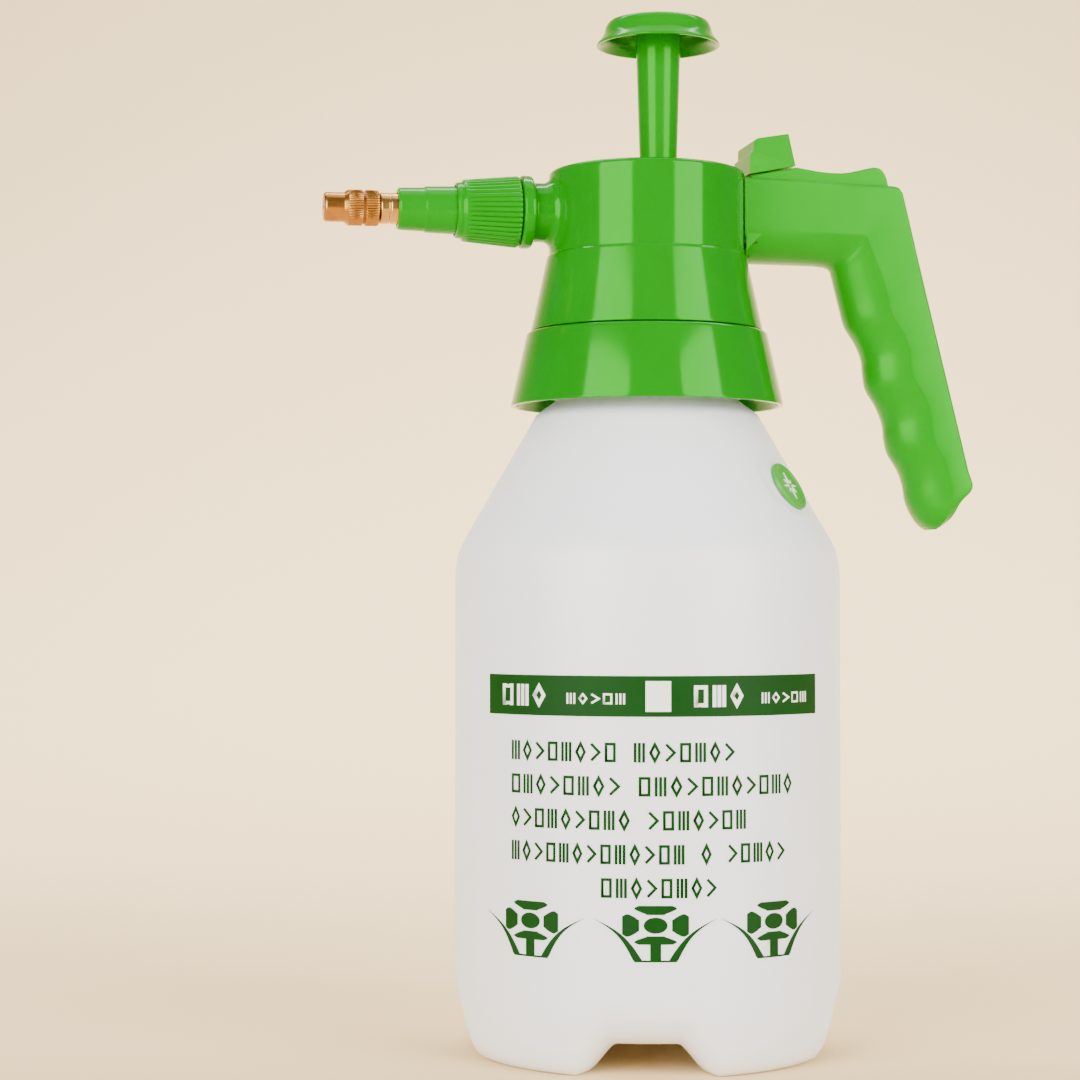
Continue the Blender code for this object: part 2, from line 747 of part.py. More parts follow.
def make_handle():
    """Two hollow halves on a seam down the middle, with their screw posts.

    Their many posts and holes meet flat walls at grazing edges, where the exact solver leaves slits.
    """
    solver = "MANIFOLD"
    cavity = handle_cavity()
    clearance = cylinder("head_clearance_cutter", HEAD_RADIUS + GAP, 225, 265, steps=STEPS)
    step = cylinder("step_clearance_cutter", HEAD_STEP_RADIUS + GAP, 224, HEAD_STEP_Z + 0.8, steps=STEPS)
    slot = box("lever_slot_cutter", (26, -LEVER_SLOT, 250.0), (73.4, LEVER_SLOT, 262))
    pocket = cylinder("pin_pocket_cutter", PIN_RADIUS + GAP, -10.7, 10.7, (PIVOT_X, 0, PIVOT_Z), ALONG_Y)
    for name, side in (("handle_left", -1), ("handle_right", 1)):
        half = loft(name, [section(station, side, 0, SIDE_GAP) for station in handle_stations()], GREEN)
        cut(half, slot, cavity, solver=solver)
        for number, (x, z) in enumerate(SCREW_PLACES):
            at = (x, 0, z)
            low, high = sorted((side * SIDE_GAP, side * (HANDLE_WIDTH / 2 - 1)))
            post = cylinder(f"{name}_post_{number}", POST_RADIUS, low, high, at, ALONG_Y, steps=12)
            join(half, post, solver=solver)
            reach = 8.0 if side < 0 else 14.0
            low, high = sorted((-side, side * reach))
            pilot = cylinder(f"{name}_pilot_{number}", PILOT_RADIUS, low, high, at, ALONG_Y, steps=10)
            cut(half, pilot, solver=solver)
            if side > 0:
                recess = cylinder(f"head_recess_{number}", 3.0, 8.6, 14, at, ALONG_Y, steps=12)
                cut(half, recess, solver=solver)
        at = (0, side * FIXING_Y, FIXING_Z)
        post = cylinder(f"{name}_fixing_post", 2.5, 27.6, 40, at, ALONG_X, steps=12)
        join(half, post, solver=solver)
        pilot = cylinder(f"{name}_fixing_pilot", PILOT_RADIUS, 24, 38.6, at, ALONG_X, steps=10)
        cut(half, pilot, solver=solver)
        cut(half, clearance, step, pocket, solver=solver)
        finish_shading(half)


def make_screws():
    """Three screws that close the halves, and two that hold the handle to the head."""
    shank = [(0, 10.6), (2.6, 10.6), (2.6, 8.9), (1.1, 8.9), (1.1, -7.0), (0, -7.7)]
    for number, (x, z) in enumerate(SCREW_PLACES, 1):
        turned(f"handle_screw_{number}", shank, STEEL, (x, 0, z), ALONG_Y, steps=10)
    fixing = [(0, -22.6), (2.4, -22.8), (2.4, -24.5), (1.1, -24.5), (1.1, -37.2), (0, -38.0)]
    for number, side in enumerate((-1, 1), 1):
        turned(f"fixing_screw_{number}", fixing, STEEL, (0, side * FIXING_Y, FIXING_Z), ALONG_MINUS_X, steps=10)


def make_trigger():
    """Thumb lever on its pin, and the lock that slides along its ramp."""
    outline = [
        (29.9, 252.4),
        (70.6, 252.4),
        (72.4, 253.6),
        (72.4, 256.2),
        (70.9, 260.2),
        (69.0, 261.4),
        (66.5, 261.2),
        (60.5, 259.8),
        (56.6, 259.4),
        (51.5, 259.6),
        (47.0, 260.2),
        (43.7, 260.7),
        (29.6, 257.9),
    ]
    lever = prism("trigger_lever", outline, LEVER_WIDTH / 2, GREEN)
    cut(lever, cylinder("pin_hole_cutter", PIN_RADIUS + GAP, -12, 12, (PIVOT_X, 0, PIVOT_Z), ALONG_Y))
    cut(lever, box("neck_slot_cutter", (34.5, -2.3, 250), (41.8, 2.3, 264)))
    cylinder("lever_pin", PIN_RADIUS, -10.4, 10.4, (PIVOT_X, 0, PIVOT_Z), ALONG_Y, STEEL)
    block = [
        (29.3, 258.2),
        (43.4, 261.0),
        (41.2, 270.6),
        (31.4, 268.9),
        (30.5, 268.1),
        (30.5, 264.5),
        (29.3, 263.7),
    ]
    slider = prism("lock_slider", block, LEVER_WIDTH / 2, GREEN)
    join(slider, box("slider_neck", (LOCK_NECK_X[0], -2.0, 249.8), (LOCK_NECK_X[1], 2.0, 263)))
    join(slider, box("slider_foot", (LOCK_NECK_X[0], -4.5, 249.4), (LOCK_NECK_X[1], 4.5, 251.2)))


# Nozzle ----------------------------------------------------------------------------------------------------


def make_nozzle():
    """Retaining nut, stepped holder, and the brass shank with its adjusting cap."""
    nut = [
        (7.35, 57.8),
        (8.1, 57.5),
        (8.3, 55.9),
        (9.1, 55.5),
        (10.5, 39.7),
        (10.2, 39.0),
        (8.0, 39.0),
        (8.0, 55.6),
        (7.35, 55.6),
    ]
    turned_on_nozzle("nozzle_nut", nut, GREEN, steps=24)
    turned_on_nozzle("nozzle_gasket", ring_profile(3.6, 6.4, 52.3, 53.2), RUBBER)
    cone = [
        (4.85, 74.8),
        (5.8, 74.7),
        (6.2, 74.0),
        (6.4, 66.9),
        (6.75, 66.6),
        (7.05, 58.0),
        (7.05, 55.3),
        (7.7, 55.3),
        (7.7, 53.5),
        (2.2, 53.5),
        (2.2, 68.0),
        (4.85, 68.0),
    ]
    turned_on_nozzle("nozzle_cone", cone, GREEN, steps=20)
    stem = [
        (1.2, 91.0),
        (3.1, 91.0),
        (3.1, 89.0),
        (2.3, 89.0),
        (2.3, 87.2),
        (3.1, 87.2),
        (3.1, 80.3),
        (4.55, 79.9),
        (4.55, 68.3),
        (1.2, 68.3),
    ]
    turned_on_nozzle("nozzle_stem", stem, BRASS, steps=16)
    turned_on_nozzle("nozzle_seal", ring_profile(2.6, 3.4, 87.5, 88.7), RUBBER, steps=16)
    turned_on_nozzle("swirl_plug", [(0, 92.5), (2.6, 92.5), (2.6, 91.3), (0, 91.3)], BRASS, steps=16)
    cap = [
        (0.6, 96.3),
        (3.9, 96.3),
        (4.3, 95.8),
        (4.3, 90.3),
        (5.25, 89.1),
        (5.25, 85.0),
        (4.85, 84.8),
        (4.85, 84.4),
        (5.25, 84.2),
        (5.25, 80.6),
        (4.9, 80.2),
        (3.7, 80.2),
        (3.7, 92.8),
        (0.6, 92.8),
    ]
    turned_on_nozzle("nozzle_cap", cap, BRASS, steps=20)


clear_scene()
SPRAYER = new_collection("pump_sprayer")
CUTTERS = new_collection("cutters", hidden=True)
GREEN = material("green_plastic", (0.05, 0.55, 0.03), 0.25)
GREY = material("grey_plastic", (0.35, 0.36, 0.37), 0.5)
WHITE_PE = material("white_polyethylene", (0.92, 0.93, 0.94), 0.4)
CLEAR_PE = material("natural_polyethylene", (0.8, 0.84, 0.86), 0.35)
BRASS = material("brass", (0.75, 0.45, 0.2), 0.25, 1.0)
STEEL = material("steel", (0.6, 0.6, 0.62), 0.3, 1.0)
RUBBER = material("black_rubber", (0.03, 0.03, 0.03), 0.7)
make_bottle()
make_badge()
make_collar()
make_neck_plug()
make_pump()
make_plunger()
make_head_shell()
make_liquid_line()
make_valve()
make_handle()
make_screws()
make_trigger()
make_nozzle()
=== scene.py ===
"""Pump sprayer: the visible shells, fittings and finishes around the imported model.

Lengths are in millimetres in the classes below and become metres where a mesh is made. The frame's origin is the
centre of the bottle's base, +Z up, the nozzle along -X and the handle along +X.
"""

from __future__ import annotations

import logging
import math
from collections.abc import Callable, Iterable, Sequence
from dataclasses import dataclass, field
from enum import Enum

import bmesh
import bpy
from mathutils import Matrix, Vector


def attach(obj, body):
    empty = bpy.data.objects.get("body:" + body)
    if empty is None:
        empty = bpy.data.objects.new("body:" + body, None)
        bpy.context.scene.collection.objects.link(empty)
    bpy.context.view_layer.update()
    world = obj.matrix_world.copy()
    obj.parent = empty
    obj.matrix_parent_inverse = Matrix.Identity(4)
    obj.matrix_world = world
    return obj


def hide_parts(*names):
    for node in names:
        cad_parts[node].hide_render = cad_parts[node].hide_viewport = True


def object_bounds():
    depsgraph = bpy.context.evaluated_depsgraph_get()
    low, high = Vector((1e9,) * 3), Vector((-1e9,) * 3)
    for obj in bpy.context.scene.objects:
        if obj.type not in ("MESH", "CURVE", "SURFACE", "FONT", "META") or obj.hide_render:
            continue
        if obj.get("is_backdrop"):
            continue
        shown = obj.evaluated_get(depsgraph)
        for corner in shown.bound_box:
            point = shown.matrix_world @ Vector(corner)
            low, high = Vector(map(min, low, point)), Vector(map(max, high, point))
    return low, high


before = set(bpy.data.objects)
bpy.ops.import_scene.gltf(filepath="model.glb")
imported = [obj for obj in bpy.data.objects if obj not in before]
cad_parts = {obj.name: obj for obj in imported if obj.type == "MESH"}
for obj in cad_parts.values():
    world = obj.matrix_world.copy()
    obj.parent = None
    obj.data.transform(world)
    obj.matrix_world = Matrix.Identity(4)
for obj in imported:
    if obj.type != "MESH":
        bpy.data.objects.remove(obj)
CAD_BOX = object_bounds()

LOG = logging.getLogger("pump_sprayer")
MM = 0.001
SHARP_DEG = 38.0
PUMP_X = 3.6
NOZZLE_Z = 246.3
FIXING_ASIDE = 8.6
FIXING_Z = 238.5
PIVOT = (31.5, 254.8)

Point = tuple[float, float]
Corner = tuple[float, float, float]
Colour = tuple[float, float, float]
Relief = Callable[[float, float, float], Point]
Place = Callable[[float, float, float], Corner]


class Axis(Enum):
    """Lines about which the turned pieces are made: the bottle's, the pump's and the nozzle's."""

    BOTTLE = "bottle"
    PUMP = "pump"
    NOZZLE = "nozzle"


class Body(Enum):
    """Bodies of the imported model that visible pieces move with."""

    SPRAYER = "sprayer"
    COLLAR = "collar"
    PLUNGER = "plunger"
    LEVER = "lever"
    LOCK = "lock"
    RETAINER = "nozzle_retainer"
    SPRAY_CAP = "spray_cap"


# Shared shader groups -----------------------------------------------------------------------------------------------


def feed(tree: bpy.types.NodeTree, socket: bpy.types.NodeSocket, value: object) -> None:
    """Links a socket to an input, or sets the input to a plain value."""
    if isinstance(value, bpy.types.NodeSocket):
        tree.links.new(value, socket)
    else:
        socket.default_value = value


def feed_all(tree: bpy.types.NodeTree, node: bpy.types.Node, inputs: dict[str, object]) -> None:
    """Feeds several of a node's inputs, each by its name."""
    for label, value in inputs.items():
        feed(tree, node.inputs[label], value)


def new_group(name: str, inputs: Sequence[tuple[str, float]], outputs: Sequence[str]) -> bpy.types.NodeTree:
    """Makes an empty shader group with number sockets.

    Args:
        name: the group's name.
        inputs: (name, default) of each number that goes in.
        outputs: names of the numbers that come out.

    Returns:
        The group's tree, holding its input and output nodes.
    """
    group = bpy.data.node_groups.new(name, "ShaderNodeTree")
    for label, default in inputs:
        socket = group.interface.new_socket(label, in_out="INPUT", socket_type="NodeSocketFloat")
        socket.default_value = default
    for label in outputs:
        group.interface.new_socket(label, in_out="OUTPUT", socket_type="NodeSocketFloat")
    group.nodes.new("NodeGroupInput").name = "in"
    group.nodes.new("NodeGroupOutput").name = "out"
    return group


def number(tree: bpy.types.NodeTree, operation: str, *values: object, clamp: bool = False) -> bpy.types.NodeSocket:
    """Adds a Math node.

    Args:
        tree: the tree it goes in.
        operation: the node's operation.
        values: numbers, or sockets to link.
        clamp: whether the result is held between 0 and 1.

    Returns:
        The result's socket.
    """
    node = tree.nodes.new("ShaderNodeMath")
    node.operation = operation
    node.use_clamp = clamp
    for socket, value in zip(node.inputs, values):
        feed(tree, socket, value)
    return node.outputs[0]


def scaled(tree: bpy.types.NodeTree, value: object, gain: float) -> bpy.types.NodeSocket:
    """A value times a number."""
    return number(tree, "MULTIPLY", value, gain)


def above(tree: bpy.types.NodeTree, value: object, start: object, gain: object) -> bpy.types.NodeSocket:
    """How far a value lies above a start, times a gain, held between 0 and 1."""
    return number(tree, "MULTIPLY", number(tree, "SUBTRACT", value, start), gain, clamp=True)


def noise(tree: bpy.types.NodeTree, vector: bpy.types.NodeSocket, scale: object, detail: float) -> bpy.types.NodeSocket:
    """Adds a Noise Texture and returns its value's socket."""
    node = tree.nodes.new("ShaderNodeTexNoise")
    feed_all(tree, node, {"Detail": detail, "Vector": vector, "Scale": scale})
    return node.outputs[0]


def object_place(tree: bpy.types.NodeTree) -> bpy.types.NodeSocket:
    """The socket of the place on the piece, in metres."""
    return tree.nodes.new("ShaderNodeTexCoord").outputs["Object"]


def pointiness(tree: bpy.types.NodeTree) -> bpy.types.NodeSocket:
    """The socket that is over a half on convex edges and under it in hollows."""
    return tree.nodes.new("ShaderNodeNewGeometry").outputs["Pointiness"]


def mapped(
    tree: bpy.types.NodeTree, scale: Corner = (1.0, 1.0, 1.0), turn: Corner = (0.0, 0.0, 0.0)
) -> bpy.types.NodeSocket:
    """The place on the piece, stretched and turned."""
    node = tree.nodes.new("ShaderNodeMapping")
    feed_all(tree, node, {"Scale": scale, "Rotation": turn, "Vector": object_place(tree)})
    return node.outputs[0]


def moulded_skin_group() -> bpy.types.NodeTree:
    """Fine orange peel and slow flow waves of an injection-moulded face.

    Returns:
        A group with inputs Grain and Waves, and outputs Height and Mottle.
    """
    group = new_group("moulded_skin", (("Grain", 1400.0), ("Waves", 60.0)), ("Height", "Mottle"))
    entry, leave = group.nodes["in"], group.nodes["out"]
    place = object_place(group)
    peel = noise(group, place, entry.outputs["Grain"], 3.0)
    waves = noise(group, place, entry.outputs["Waves"], 2.0)
    height = number(group, "ADD", scaled(group, peel, 0.25), scaled(group, waves, 0.75))
    feed_all(group, leave, {"Height": height, "Mottle": number(group, "SUBTRACT", waves, 0.5)})
    return group


def handling_group() -> bpy.types.NodeTree:
    """Hairline scratches and rubbed patches from use.

    Returns:
        A group with input Amount, and outputs Dulling, to add to roughness, and Height.
    """
    group = new_group("handling_marks", (("Amount", 1.0),), ("Dulling", "Height"))
    amount = group.nodes["in"].outputs["Amount"]
    lines = noise(group, mapped(group, (1.0, 1.0, 0.06), (0.35, 0.2, 0.5)), 2600.0, 2.0)
    patches = noise(group, object_place(group), 45.0, 3.0)
    worn = above(group, patches, 0.5, 1.6)
    marks = number(group, "MULTIPLY", above(group, lines, 0.66, 9.0), worn)
    dulling = number(group, "ADD", scaled(group, marks, 0.25), scaled(group, worn, 0.08))
    leaving = {"Dulling": dulling, "Height": marks}
    for label, value in leaving.items():
        feed(group, group.nodes["out"].inputs[label], number(group, "MULTIPLY", value, amount))
    return group


def worn_and_lit_edge_group() -> bpy.types.NodeTree:
    """Where convex edges are painted lighter: a painted highlight where they catch the light, and wear where they rub
    first.

    Returns:
        A group with inputs Start and Gain, and output Mask.
    """
    group = new_group("edge_wear_and_highlight", (("Start", 0.53), ("Gain", 9.0)), ("Mask",))
    entry = group.nodes["in"]
    # The mask paints convex edges lighter: partly a painted highlight, partly wear.
    mask = above(group, pointiness(group), entry.outputs["Start"], entry.outputs["Gain"])
    broken = number(group, "MULTIPLY", mask, noise(group, object_place(group), 700.0, 3.0))
    feed(group, group.nodes["out"].inputs["Mask"], broken)
    return group


class Groups:
    """The shared shader groups, each made once."""

    def __init__(self) -> None:
        """Builds every group."""
        self.skin = moulded_skin_group()
        self.handling = handling_group()
        self.edges = worn_and_lit_edge_group()

    @staticmethod
    def put(tree: bpy.types.NodeTree, group: bpy.types.NodeTree, **values: float) -> bpy.types.Node:
        """Places a group in a material.

        Args:
            tree: the material's tree.
            group: the shared group.
            values: numbers for its inputs.

        Returns:
            The group's node.
        """
        node = tree.nodes.new("ShaderNodeGroup")
        node.node_tree = group
        feed_all(tree, node, values)
        return node


def mixed_colour(
    tree: bpy.types.NodeTree, share: bpy.types.NodeSocket, first: object, second: object
) -> bpy.types.NodeSocket:
    """Mixes two colours by a mask.

    Args:
        tree: the material's tree.
        share: 0 gives the first colour and 1 the second.
        first: a linear colour, or a socket that gives one.
        second: a linear colour.

    Returns:
        The mixed colour's socket.
    """
    node = tree.nodes.new("ShaderNodeMix")
    node.data_type = "RGBA"
    first, second = (value if isinstance(value, bpy.types.NodeSocket) else (*value, 1.0) for value in (first, second))
    feed_all(tree, node, {"A": first, "B": second, "Factor": share})
    return node.outputs["Result"]


def mottled(tree: bpy.types.NodeTree, skin: bpy.types.Node, gain: float) -> bpy.types.NodeSocket:
    """A share that wanders round a half with the moulded skin's slow waves."""
    return number(tree, "ADD", scaled(tree, skin.outputs["Mottle"], gain), 0.5, clamp=True)


def start_material(name: str) -> tuple[bpy.types.Material, bpy.types.NodeTree, bpy.types.Node]:
    """A new material, its tree and its Principled shader."""
    made = bpy.data.materials.new(name)
    made.use_nodes = True
    return made, made.node_tree, made.node_tree.nodes["Principled BSDF"]


def add_bump(tree: bpy.types.NodeTree, shader: bpy.types.Node, height: bpy.types.NodeSocket, depth: float) -> None:
    """Feeds a height to the shader's normal.

    Args:
        tree: the material's tree.
        shader: its Principled shader.
        height: the height, between 0 and 1.
        depth: how deep 1 is, in millimetres.
    """
    bump = tree.nodes.new("ShaderNodeBump")
    feed_all(tree, bump, {"Distance": depth * MM, "Strength": 1.0, "Height": height})
    feed(tree, shader.inputs["Normal"], bump.outputs[0])


@dataclass(frozen=True)
class MouldedPlastic:
    """A glossy or satin moulded plastic with orange peel, hairline scratches, and convex edges painted lighter for wear
    and a painted highlight.
    """

    name: str
    colour: Colour
    shade: Colour
    # colour of the convex edges: their wear and a painted highlight
    edge: Colour
    roughness: float
    peel: float = 0.02
    tint: Colour = (1.0, 1.0, 1.0)

    def make(self, groups: Groups) -> bpy.types.Material:
        """Builds the material.

        Args:
            groups: the shared shader groups.

        Returns:
            The finished material.
        """
        made, tree, shader = start_material(self.name)
        skin = groups.put(tree, groups.skin)
        marks = groups.put(tree, groups.handling, Amount=1.0)
        # convex edges get the lighter edge colour: wear and a painted highlight
        edges = groups.put(tree, groups.edges)
        body = mixed_colour(tree, mottled(tree, skin, 1.4), self.shade, self.colour)
        feed_all(tree, shader, {
            "Base Color": mixed_colour(tree, edges.outputs["Mask"], body, self.edge),
            "Roughness": number(tree, "ADD", marks.outputs["Dulling"], self.roughness),
            "Specular Tint": (*self.tint, 1.0),
        })
        height = number(tree, "SUBTRACT", skin.outputs["Height"], scaled(tree, marks.outputs["Height"], 0.3))
        add_bump(tree, shader, height, self.peel)
        return made


@dataclass(frozen=True)
class TurnedMetal:
    """A bright turned metal with fine tool rings and tarnish in its hollows."""

    name: str
    colour: Colour
    tarnish: Colour
    roughness: float
    along: Corner = (1.0, 0.02, 0.02)

    def make(self, groups: Groups) -> bpy.types.Material:
        """Builds the material.

        Args:
            groups: the shared shader groups.

        Returns:
            The finished material.
        """
        made, tree, shader = start_material(self.name)
        tool = noise(tree, mapped(tree, self.along), 9000.0, 1.0)
        cloud = noise(tree, object_place(tree), 260.0, 4.0)
        hollow = above(tree, 0.49, pointiness(tree), 14.0)
        share = number(tree, "MAXIMUM", hollow, above(tree, cloud, 0.45, 1.2))
        rough = number(tree, "ADD", scaled(tree, share, 0.18), self.roughness)
        marks = groups.put(tree, groups.handling, Amount=0.5)
        feed_all(tree, shader, {
            "Base Color": mixed_colour(tree, share, self.colour, self.tarnish),
            "Metallic": 1.0,
            "Roughness": number(tree, "ADD", rough, marks.outputs["Dulling"]),
        })
        add_bump(tree, shader, tool, 0.006)
        return made


@dataclass(frozen=True)
class PlainSkin:
    """Rubber, enamel or printed ink: a soft grain over one colour that drifts a little."""

    name: str
    colour: Colour
    drift: Colour
    roughness: float
    grain: float = 900.0
    depth: float = 0.02
    shine: float = 0.5

    def make(self, groups: Groups) -> bpy.types.Material:
        """Builds the material.

        Args:
            groups: the shared shader groups.

        Returns:
            The finished material.
        """
        made, tree, shader = start_material(self.name)
        skin = groups.put(tree, groups.skin, Grain=self.grain, Waves=140.0)
        share = mottled(tree, skin, 1.6)
        feed_all(tree, shader, {
            "Base Color": mixed_colour(tree, share, self.colour, self.drift),
            "Roughness": number(tree, "ADD", scaled(tree, share, 0.12), self.roughness),
            "Specular IOR Level": self.shine,
        })
        add_bump(tree, shader, skin.outputs["Height"], self.depth)
        return made


@dataclass(frozen=True)
class BlownBottle:
    """White blow-moulded polyethylene: slightly see-through, with flow waves and a faint mould line."""

    name: str = "bottle_white"
    colour: Colour = (0.90, 0.93, 0.98)
    shade: Colour = (0.86, 0.90, 0.95)
    roughness: float = 0.36
    glow_share: float = 0.35
    glow_radius: Colour = (1.0, 1.0, 0.9)
    glow_reach: float = 3.0
    seam_turn: float = 32.0
    seam_half_width: float = 0.22

    def make(self, groups: Groups) -> bpy.types.Material:
        """Builds the material.

        Args:
            groups: the shared shader groups.

        Returns:
            The finished material.
        """
        made, tree, shader = start_material(self.name)
        skin = groups.put(tree, groups.skin, Grain=520.0, Waves=38.0)
        marks = groups.put(tree, groups.handling, Amount=0.6)
        feed_all(tree, shader, {
            "Base Color": mixed_colour(tree, mottled(tree, skin, 1.2), self.shade, self.colour),
            "Roughness": number(tree, "ADD", marks.outputs["Dulling"], self.roughness),
            "Subsurface Weight": self.glow_share,
            "Subsurface Radius": self.glow_radius,
            "Subsurface Scale": self.glow_reach * MM,
        })
        parts = tree.nodes.new("ShaderNodeSeparateXYZ")
        feed(tree, parts.inputs[0], mapped(tree, turn=(0.0, 0.0, math.radians(self.seam_turn))))
        away = number(tree, "DIVIDE", number(tree, "ABSOLUTE", parts.outputs["X"]), self.seam_half_width * MM)
        seam = number(tree, "SUBTRACT", 1.0, away, clamp=True)
        height = number(tree, "ADD", scaled(tree, skin.outputs["Height"], 0.5), scaled(tree, seam, 0.7))
        add_bump(tree, shader, height, 0.05)
        return made


@dataclass(frozen=True)
class NaturalTube:
    """Natural polyethylene hose: milky, see-through, faintly streaked."""

    name: str = "tube_natural"
    colour: Colour = (0.78, 0.82, 0.84)
    streak: Colour = (0.88, 0.90, 0.90)
    roughness: float = 0.28

    def make(self, groups: Groups) -> bpy.types.Material:
        """Builds the material.

        Args:
            groups: the shared shader groups.

        Returns:
            The finished material.
        """
        made, tree, shader = start_material(self.name)
        skin = groups.put(tree, groups.skin, Grain=1100.0, Waves=220.0)
        share = mottled(tree, skin, 1.0)
        feed_all(tree, shader, {
            "Base Color": mixed_colour(tree, share, self.colour, self.streak),
            "Roughness": number(tree, "ADD", scaled(tree, share, 0.15), self.roughness),
            "Transmission Weight": 0.6,
            "IOR": 1.5,
        })
        add_bump(tree, shader, skin.outputs["Height"], 0.02)
        return made


# Shared mesh making -------------------------------------------------------------------------------------------------


def add_object(name: str, data: bpy.types.ID) -> bpy.types.Object:
    """Puts a new object that holds this mesh, lamp or camera into the scene."""
    made = bpy.data.objects.new(name, data)
    bpy.context.scene.collection.objects.link(made)
    return made


def smooth_but_sharp(mesh: bpy.types.Mesh, sharp: float) -> None:
    """Shades a mesh smooth except at edges over an angle in degrees."""
    mesh.shade_smooth()
    mesh.set_sharp_from_angle(angle=math.radians(sharp))


def make_object(
    name: str, corners: Iterable[Sequence[float]], faces: Iterable[Sequence[int]], sharp: float = SHARP_DEG
) -> bpy.types.Object:
    """Makes a shaded mesh object, with doubled points merged and its faces turned outwards.

    Args:
        name: the piece's name.
        corners: points in millimetres.
        faces: point numbers of each face.
        sharp: angle in degrees above which an edge stays crisp.

    Returns:
        The object, linked to the scene.
    """
    mesh = bpy.data.meshes.new(name)
    mesh.from_pydata([Vector(corner) * MM for corner in corners], [], [list(face) for face in faces])
    shape = bmesh.new()
    shape.from_mesh(mesh)
    bmesh.ops.remove_doubles(shape, verts=shape.verts, dist=1e-7)
    bmesh.ops.dissolve_degenerate(shape, edges=shape.edges, dist=1e-8)
    bmesh.ops.recalc_face_normals(shape, faces=shape.faces)
    shape.to_mesh(mesh)
    shape.free()
    smooth_but_sharp(mesh, sharp)
    return add_object(name, mesh)


def rounded(outline: Sequence[Sequence[float]], closed: bool = True, steps: int = 5) -> list[Point]:
    """Rounds the corners of an outline.

    Args:
        outline: points (across, up) or (across, up, how far back from the corner the rounding starts).
        closed: whether the last point joins the first.
        steps: pieces in each rounding.

    Returns:
        The finer outline.
    """
    points = []
    count = len(outline)
    for index, entry in enumerate(outline):
        corner = Vector(entry[:2])
        reach = entry[2] if len(entry) > 2 else 0.0
        at_end = not closed and index in (0, count - 1)
        if reach == 0.0 or at_end:
            points.append((corner.x, corner.y))
            continue
        sides = [Vector(outline[index - 1][:2]) - corner, Vector(outline[(index + 1) % count][:2]) - corner]
        first, last = (corner + side.normalized() * min(reach, 0.48 * side.length) for side in sides)
        for step in range(steps + 1):
            t = step / steps
            spot = first * (1 - t) ** 2 + corner * 2 * t * (1 - t) + last * t**2
            points.append((spot.x, spot.y))
    return points


def on_axis(axis: Axis, angle: float, radius: float, height: float) -> Corner:
    """The place of a turned point.

    Args:
        axis: the line it is turned about.
        angle: turn in radians.
        radius: distance from that line.
        height: height, or distance along -X from the bottle's line for the nozzle.

    Returns:
        (x, y, z) in millimetres.
    """
    across, aside = radius * math.cos(angle), radius * math.sin(angle)
    if axis is Axis.NOZZLE:
        return -height, aside, NOZZLE_Z + across
    shift = PUMP_X if axis is Axis.PUMP else 0.0
    return shift + across, aside, height


def spin(name: str, profile: Sequence[Point], steps: int, place: Place, sharp: float = SHARP_DEG) -> bpy.types.Object:
    """Turns a profile through a full circle.

    Args:
        name: the piece's name.
        profile: a closed outline of (radius, height). A side that lies on the axis makes no face.
        steps: pieces in a turn.
        place: gives a point's place from its angle, radius and height.
        sharp: angle above which an edge stays crisp.

    Returns:
        The turned object.
    """
    corners, faces, rows = [], [], len(profile)
    for step in range(steps):
        near, far = step * rows, (step + 1) % steps * rows
        corners += [place(math.tau * step / steps, radius, height) for radius, height in profile]
        for row in range(rows):
            following = (row + 1) % rows
            if profile[row][0] or profile[following][0]:
                faces.append((near + row, near + following, far + following, far + row))
    return make_object(name, corners, faces, sharp)


def lathe(
    name: str, profile: Sequence[Point], axis: Axis, steps: int, relief: Relief | None = None, sharp: float = SHARP_DEG
) -> bpy.types.Object:
    """Turns a profile about one of the sprayer's axes.

    Args:
        name: the piece's name.
        profile: a closed outline of (radius, height).
        axis: the line it is turned about.
        steps: pieces in a turn.
        relief: moves a point, given its angle, radius and height.
        sharp: angle above which an edge stays crisp.

    Returns:
        The turned object.
    """

    def place(angle: float, radius: float, height: float) -> Corner:
        """Puts a point of the profile on the axis, after any relief."""
        return on_axis(axis, angle, *(relief(angle, radius, height) if relief else (radius, height)))

    return spin(name, profile, steps, place, sharp)


def loft(
    name: str, rings: Sequence[Sequence[Corner]], caps: Sequence[int] = (0, -1), sharp: float = SHARP_DEG
) -> bpy.types.Object:
    """Joins rings of equal point counts.

    Args:
        name: the piece's name.
        rings: the rings' points in millimetres.
        caps: which rings are closed with a face.
        sharp: angle above which an edge stays crisp.

    Returns:
        The object.
    """
    count, last = len(rings[0]), len(rings) - 1
    faces = [
        (row * count + i, row * count + (i + 1) % count, (row + 1) * count + (i + 1) % count, (row + 1) * count + i)
        for row in range(last)
        for i in range(count)
    ]
    faces += [tuple(cap % len(rings) * count + i for i in range(count)) for cap in caps]
    return make_object(name, [tuple(point) for ring in rings for point in ring], faces, sharp)


def crisp(made: bpy.types.Object, sharp: float) -> None:
    """Shades a piece so that its flat faces look flat beside small roundings.

    Args:
        made: the piece.
        sharp: angle in degrees above which an edge stays crisp.
    """
    smooth_but_sharp(made.data, sharp)
    weights = made.modifiers.new("face_weights", "WEIGHTED_NORMAL")
    weights.keep_sharp = True


